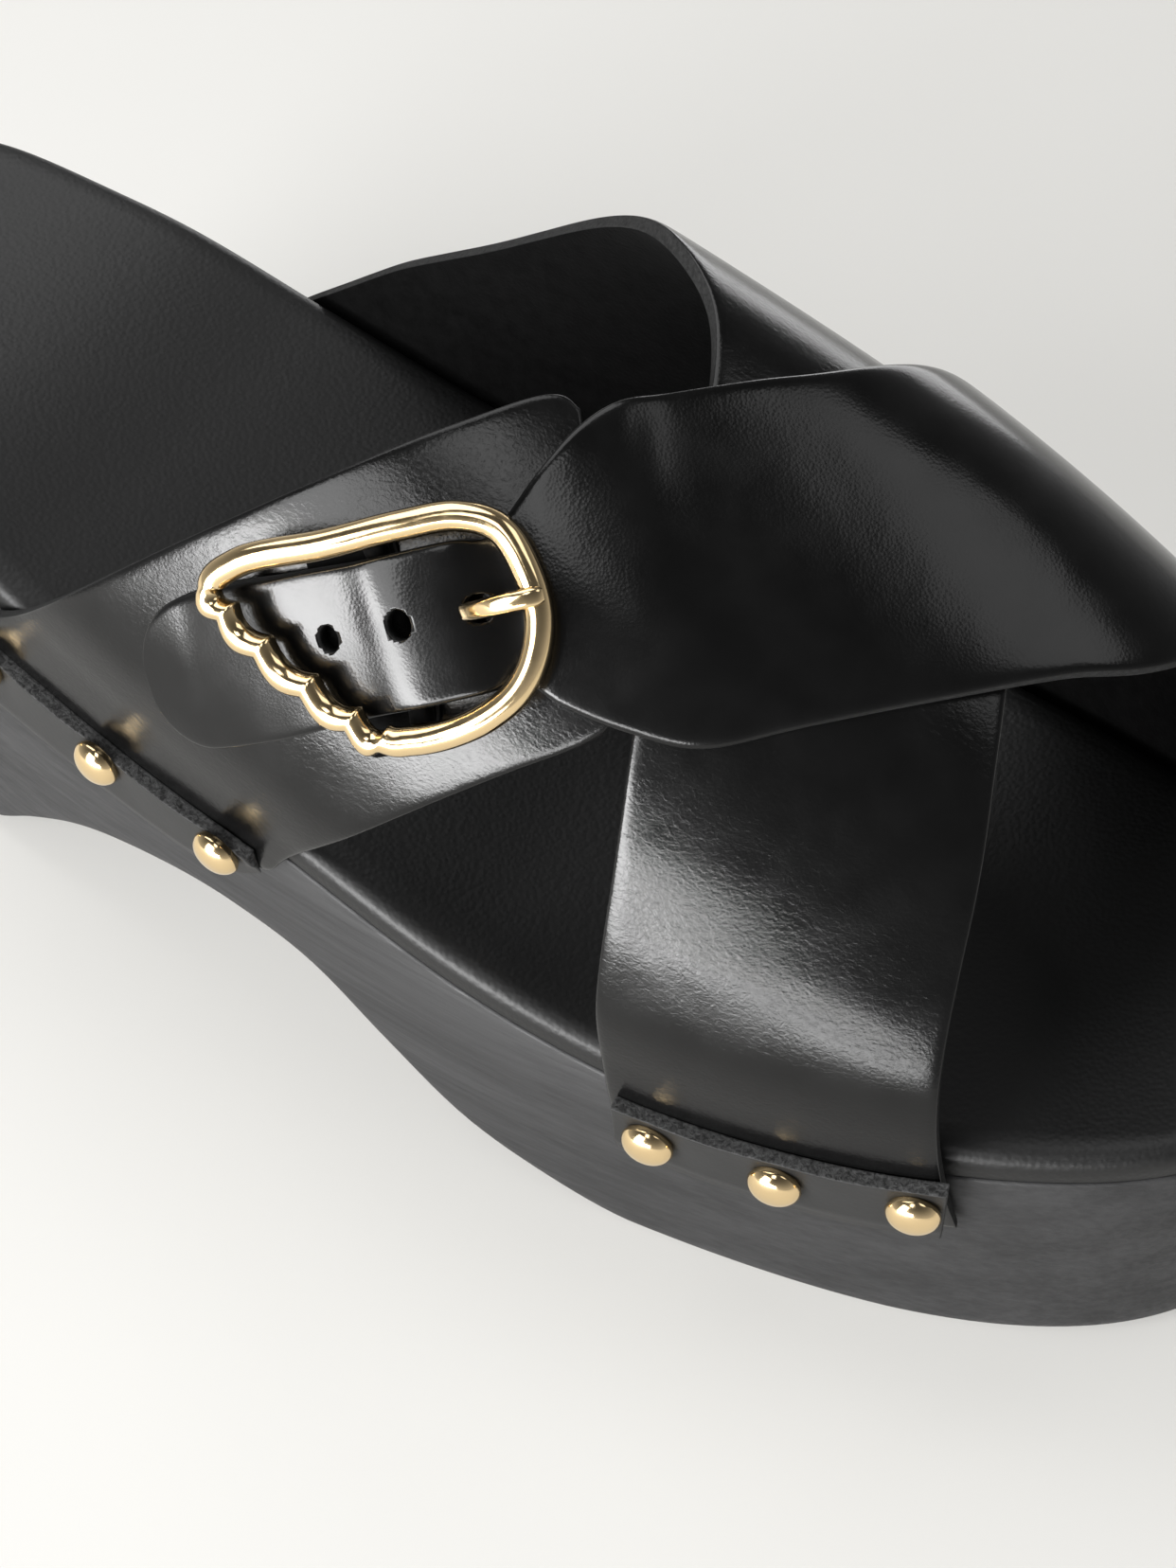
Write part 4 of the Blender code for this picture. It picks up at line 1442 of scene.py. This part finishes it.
@dataclass
class Buckle:
    """Cast frame with a scalloped side, the leather loop that holds its hidden bar, and the prong."""

    seat: BuckleSeat
    radius: float = 1.8
    # Centreline apart from the scalloped side: along the tab, across it, height over the last.
    bow: Table = (
        (-17.8, 8.1, 9.0), (-13.8, 9.7, 8.7), (-2.3, 9.2, 7.8), (7.2, 9.2, 7.4), (14.0, 8.8, 7.05),
        (18.4, 6.7, 7.05), (20.6, 2.0, 7.05), (21.0, -2.6, 7.05), (19.4, -6.6, 7.05), (16.7, -9.3, 7.05),
        (12.6, -11.1, 7.2), (7.5, -12.0, 7.5), (2.5, -11.9, 8.1), (-1.0, -11.0, 8.6),
    )
    scallops: int = 5
    scallop_depth: float = 1.25
    scallop_fullness: float = 1.0
    steps: int = 90
    coarse: int = 9
    section_sides: int = 40
    # The cast's parting line, low on the outer side: place round the section in degrees, and depth.
    parting: tuple[float, float] = (-27.0, 0.09)
    bar_along: float = 2.5
    bar_radius: float = 1.1
    # Hidden bar: across the tab, height over the last.
    bar: Table = ((8.9, 7.0), (8.4, 4.8), (6.4, 3.7), (0.0, 3.65), (-8.0, 3.7), (-11.0, 4.8), (-12.1, 7.2))
    loop_radius: float = 1.5
    # Flat of the leather loop under the tab: distance across the tab, then its two edges along it.
    loop_flat: Table = (
        (8.8, -7.6, 4.4), (4.0, -8.0, 4.6), (-3.0, -8.4, 4.8), (-8.0, -8.8, 4.6), (-11.5, -8.8, 3.6),
        (-13.2, -8.0, 1.6), (-14.0, -6.4, -2.0),
    )
    loop_height: float = 2.25
    loop_leather: float = 1.3
    loop_width: float = 12.0
    # Prong: along the tab, height over the last, half width.
    prong: Table = (
        (7.2, 3.6, 1.0), (9.0, 3.65, 1.0), (11.0, 4.5, 1.0), (14.0, 7.4, 1.1), (17.0, 9.6, 1.15),
        (20.4, 10.25, 1.15), (21.6, 10.05, 1.1), (22.2, 9.8, 0.85),
    )
    prong_across: float = -0.6
    prong_square: float = 3.4
    prong_sides: int = 28

    def sweep(self, path: Array, guide: Array, section: Array, closed: bool) -> Form:
        """Bar along a path.

        Args:
            path: points of its centreline.
            guide: points of the line that the sections stand square to.
            section: for each point, or once for all, places across and up round the section.
            closed: whether the bar joins itself.

        Returns:
            The closed bar.
        """
        ahead = np.roll(guide, -1, 0) - np.roll(guide, 1, 0)
        if not closed:
            ahead[0], ahead[-1] = guide[1] - guide[0], guide[-1] - guide[-2]
        ahead /= np.linalg.norm(ahead, axis=1)[:, None]
        across = np.cross(self.seat.up(), ahead)
        across /= np.linalg.norm(across, axis=1)[:, None]
        rise = np.cross(ahead, across)
        section = np.broadcast_to(section, (len(path), *section.shape[-2:]))
        points = path[:, None] + section[..., :1] * across[:, None] + section[..., 1:] * rise[:, None]
        return tube(points, closed)

    def frame(self) -> Form:
        """The frame: the bow, and the side back to its start pushed out in scallops.

        Returns:
            The closed ring.
        """
        ring = rounded(self.bow, closed=True, each=self.steps)
        side = (len(self.bow) - 1) * self.steps
        base = np.vstack([ring[:side:self.coarse], ring[side:]])
        share = np.zeros(len(base))
        share[-self.steps:] = np.linspace(0, 1, self.steps, endpoint=False)
        push = self.scallop_depth * np.abs(np.sin(np.pi * self.scallops * share)) ** self.scallop_fullness
        ahead = np.roll(base, -1, 0) - np.roll(base, 1, 0)
        outwards = np.stack([-ahead[:, 1], ahead[:, 0]], -1) / np.hypot(ahead[:, 0], ahead[:, 1])[:, None]
        moved = base[:, :2] + outwards * push[:, None]
        pitch = 2 * np.pi / self.section_sides
        line = np.radians(self.parting[0]) % (2 * np.pi)
        parted = np.abs(np.arange(self.section_sides) * pitch - line) < pitch / 2
        section = circle(self.section_sides) * (self.radius - self.parting[1] * parted)[:, None]
        return self.sweep(self.seat.over(*moved.T, base[:, 2]), self.seat.over(*base.T), section, True)

    def cross_bar(self, route: Array, radius: float, sides: int = 16) -> Form:
        """Round bar across the tab.

        Args:
            route: places across the tab and heights over the last.
            radius: radius of the bar.
            sides: points round it.

        Returns:
            The closed bar.
        """
        path = self.seat.over(np.full(len(route), self.bar_along), route[:, 0], route[:, 1])
        path = rounded(path, closed=False, each=6)
        return self.sweep(path, path, radius * circle(sides), False)

    def tongue(self) -> Form:
        """The prong: a squared bar that rises through the tab and rests on the frame.

        Returns:
            The closed bar.
        """
        way = rounded(self.prong, closed=False, each=8)
        path = self.seat.over(way[:, 0], np.full(len(way), self.prong_across), way[:, 1])
        ring = circle(self.prong_sides)
        ring = np.sign(ring) * np.abs(ring) ** (2 / self.prong_square)
        return self.sweep(path, path, way[:, 2][:, None, None] * ring, False)

    def build(self, finishes: Finishes) -> None:
        """Builds and dresses the frame, the loop and the prong.

        Args:
            finishes: the materials.
        """
        bar, suede, gold = np.array(self.bar), finishes.suede, finishes.gold
        frame = self.frame().joined(self.cross_bar(bar, self.bar_radius))
        settle(frame.add("buckle_bow", [gold]), "gold_plate", "buckle_frame")
        loop = self.cross_bar(bar[1:-1], self.loop_radius, 24).add("buckle_loop", [suede])
        tongue = self.tongue().add("buckle_tongue", [gold])
        for piece in (loop, tongue):
            piece.data.set_sharp_from_angle(angle=CRISP)
        settle(loop, "strap_leather")
        rows = [[*self.seat.place(a, across), *self.seat.place(b, across), self.loop_height]
                for across, a, b in self.loop_flat]
        flat = Strap(self.seat.last, "loop_flat", rows, (Side.OUTER,), skived_ends=(),
                     leather=self.loop_leather, skived=self.loop_leather, width=self.loop_width)
        settle(flat.form().add("loop_flat", finishes.strap(suede), smoothing=1), "strap_leather")
        settle(tongue, "gold_plate", "buckle_prong")


def bearing(azimuth: float, elevation: float) -> tuple[float, float, float]:
    """Direction at an azimuth, from -y towards +x, and an elevation in degrees."""
    a, e = math.radians(azimuth), math.radians(elevation)
    return math.sin(a) * math.cos(e), -math.cos(a) * math.cos(e), math.sin(e)


@dataclass(frozen=True)
class Panel:
    """Soft light: its bearing from the shoe in degrees, its distance and size in metres, its radiance."""

    name: str
    azimuth: float
    elevation: float
    distance: float
    size: tuple[float, float]
    radiance: float

    def build(self, target: Vector) -> None:
        """Hangs the light, turned to the shoe.

        Args:
            target: the point that it faces, in metres.
        """
        back = Vector(bearing(self.azimuth, self.elevation))
        light = bpy.data.lights.new(self.name, "AREA")
        light.shape = "RECTANGLE"
        light.size, light.size_y = self.size
        # A lamp's power is spread over four times its area.
        light.energy = 4 * self.size[0] * self.size[1] * self.radiance
        lamp = bpy.data.objects.new(self.name, light)
        lamp.location = target + back * self.distance
        lamp.rotation_mode = "QUATERNION"
        lamp.rotation_quaternion = (-back).to_track_quat("-Z", "Y")
        lamp.visible_camera = False
        bpy.context.scene.collection.objects.link(lamp)


@dataclass
class Studio:
    """Paper floor, soft lights and the camera at the photograph's angle."""

    floor_half: float = 6.0
    # Radiance of the dark room overhead, and how much brighter it is at the horizon.
    room: float = 0.076
    horizon: float = 0.44
    panels: tuple[Panel, ...] = (
        Panel("softbox", -17.0, 24.0, 1.0, (0.52, 0.72), 5.4),
        Panel("softbox_core", -12.0, 6.5, 0.98, (0.54, 0.3), 17.6),
        Panel("low_strip", 12.0, 5.0, 1.0, (0.42, 0.2), 11.5),
        Panel("upper_card", 10.0, 62.0, 1.0, (0.24, 0.36), 2.6),
        Panel("top_panel", -110.0, 58.0, 1.0, (0.8, 0.8), 2.0),
        Panel("ceiling_card", 127.0, 57.0, 1.2, (0.75, 0.42), 1.3),
        Panel("back_card", -165.0, 8.0, 1.0, (0.6, 0.35), 2.6),
    )
    target: tuple[float, float, float] = (15.0, -1.5, 60.0)
    # Camera: bearing, height and roll in degrees, distance from its aim, and lens.
    azimuth: float = 34.78
    elevation: float = 50.06
    roll: float = -1.09
    distance: float = 383.3
    aim: tuple[float, float, float] = (140.0, 0.0, 40.0)
    shift: tuple[float, float] = (0.75, -5.87)
    lens: float = 64.06

    def floor(self) -> None:
        """Lays the paper."""
        half = self.floor_half
        mesh = bpy.data.meshes.new("paper_floor")
        corners = [(x * half, y * half, 0) for x, y in ((-1, -1), (1, -1), (1, 1), (-1, 1))]
        mesh.from_pydata(corners, [], [(0, 1, 2, 3)])
        mesh.materials.append(StudioPaper().make())
        floor = bpy.data.objects.new("paper_floor", mesh)
        bpy.context.scene.collection.objects.link(floor)

    def light(self) -> None:
        """Hangs the panels and sets the dim room round them."""
        world = bpy.data.worlds.new("studio_room")
        world.use_nodes = True
        tree = world.node_tree
        place = add_node(tree, "ShaderNodeTexCoord").outputs["Generated"]
        way = add_node(tree, "ShaderNodeSeparateXYZ", {0: place})
        low = add_node(tree, "ShaderNodeMath", {0: 1.0, 1: way.outputs["Z"]},
                       operation="SUBTRACT", use_clamp=True)
        square = add_node(tree, "ShaderNodeMath", {0: low.outputs[0], 1: 2.0}, operation="POWER")
        glow = add_node(tree, "ShaderNodeMath", {0: square.outputs[0], 1: self.horizon, 2: self.room},
                        operation="MULTIPLY_ADD")
        background = tree.nodes["Background"]
        background.inputs["Color"].default_value = linear("#FFFFFF")
        tree.links.new(glow.outputs[0], background.inputs["Strength"])
        bpy.context.scene.world = world
        for panel in self.panels:
            panel.build(Vector(self.target) * MM)

    def camera(self) -> None:
        """Sets the camera."""
        roll = math.radians(self.roll)
        back = np.array(bearing(self.azimuth, self.elevation))
        level = np.array(bearing(self.azimuth + 90, 0.0))
        upright = np.cross(back, level)
        right = level * math.cos(roll) + upright * math.sin(roll)
        up = upright * math.cos(roll) - level * math.sin(roll)
        eye = np.array(self.aim) + back * self.distance + right * self.shift[0] + up * self.shift[1]
        data = bpy.data.cameras.new("studio_camera")
        data.lens = self.lens
        data.clip_start = 0.01
        camera = bpy.data.objects.new("studio_camera", data)
        turn = Matrix([right, up, back]).transposed().to_4x4()
        camera.matrix_world = Matrix.Translation(Vector((eye - MID) * MM)) @ turn
        bpy.context.scene.collection.objects.link(camera)
        bpy.context.scene.camera = camera

    def build(self) -> None:
        """Builds the studio."""
        # A plain response keeps the paper pale and the leather deep, as in a product photograph.
        bpy.context.scene.view_settings.view_transform = "Standard"
        self.floor()
        self.light()
        self.camera()


def main() -> None:
    """Builds the clog around its solids, then the studio."""
    logging.basicConfig(level=logging.INFO, format="%(message)s")
    for old in list(bpy.data.objects):
        bpy.data.objects.remove(old)
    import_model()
    last = Last()
    seat = BuckleSeat(last)
    finishes = Finishes()
    Platform(last).build(finishes)
    upper = Upper(last, seat)
    upper.build(finishes)
    SideStrap(last).build(finishes)
    front = {"heights": (2.0, 4.0, -10.3, -10.0)}
    rear = {"heights": (-4.4, 3.2, -19.0, -8.5), "taper": 8.5, "nail_drop": 2.1}
    for place, side, ends, sizes in (
        ("outer_front", Side.OUTER, upper.lower_feet[0][2:], front),
        ("outer_rear", Side.OUTER, (65.5, 121.5), rear),
        ("inner_front", Side.INNER, upper.upper_feet[2:], front),
        ("inner_rear", Side.INNER, (63.5, 122.5), rear),
    ):
        Rand(last, place, side, ends, **sizes).build(finishes)
    Buckle(seat).build(finishes)
    Studio().build()


if __name__ == "__main__":
    main()
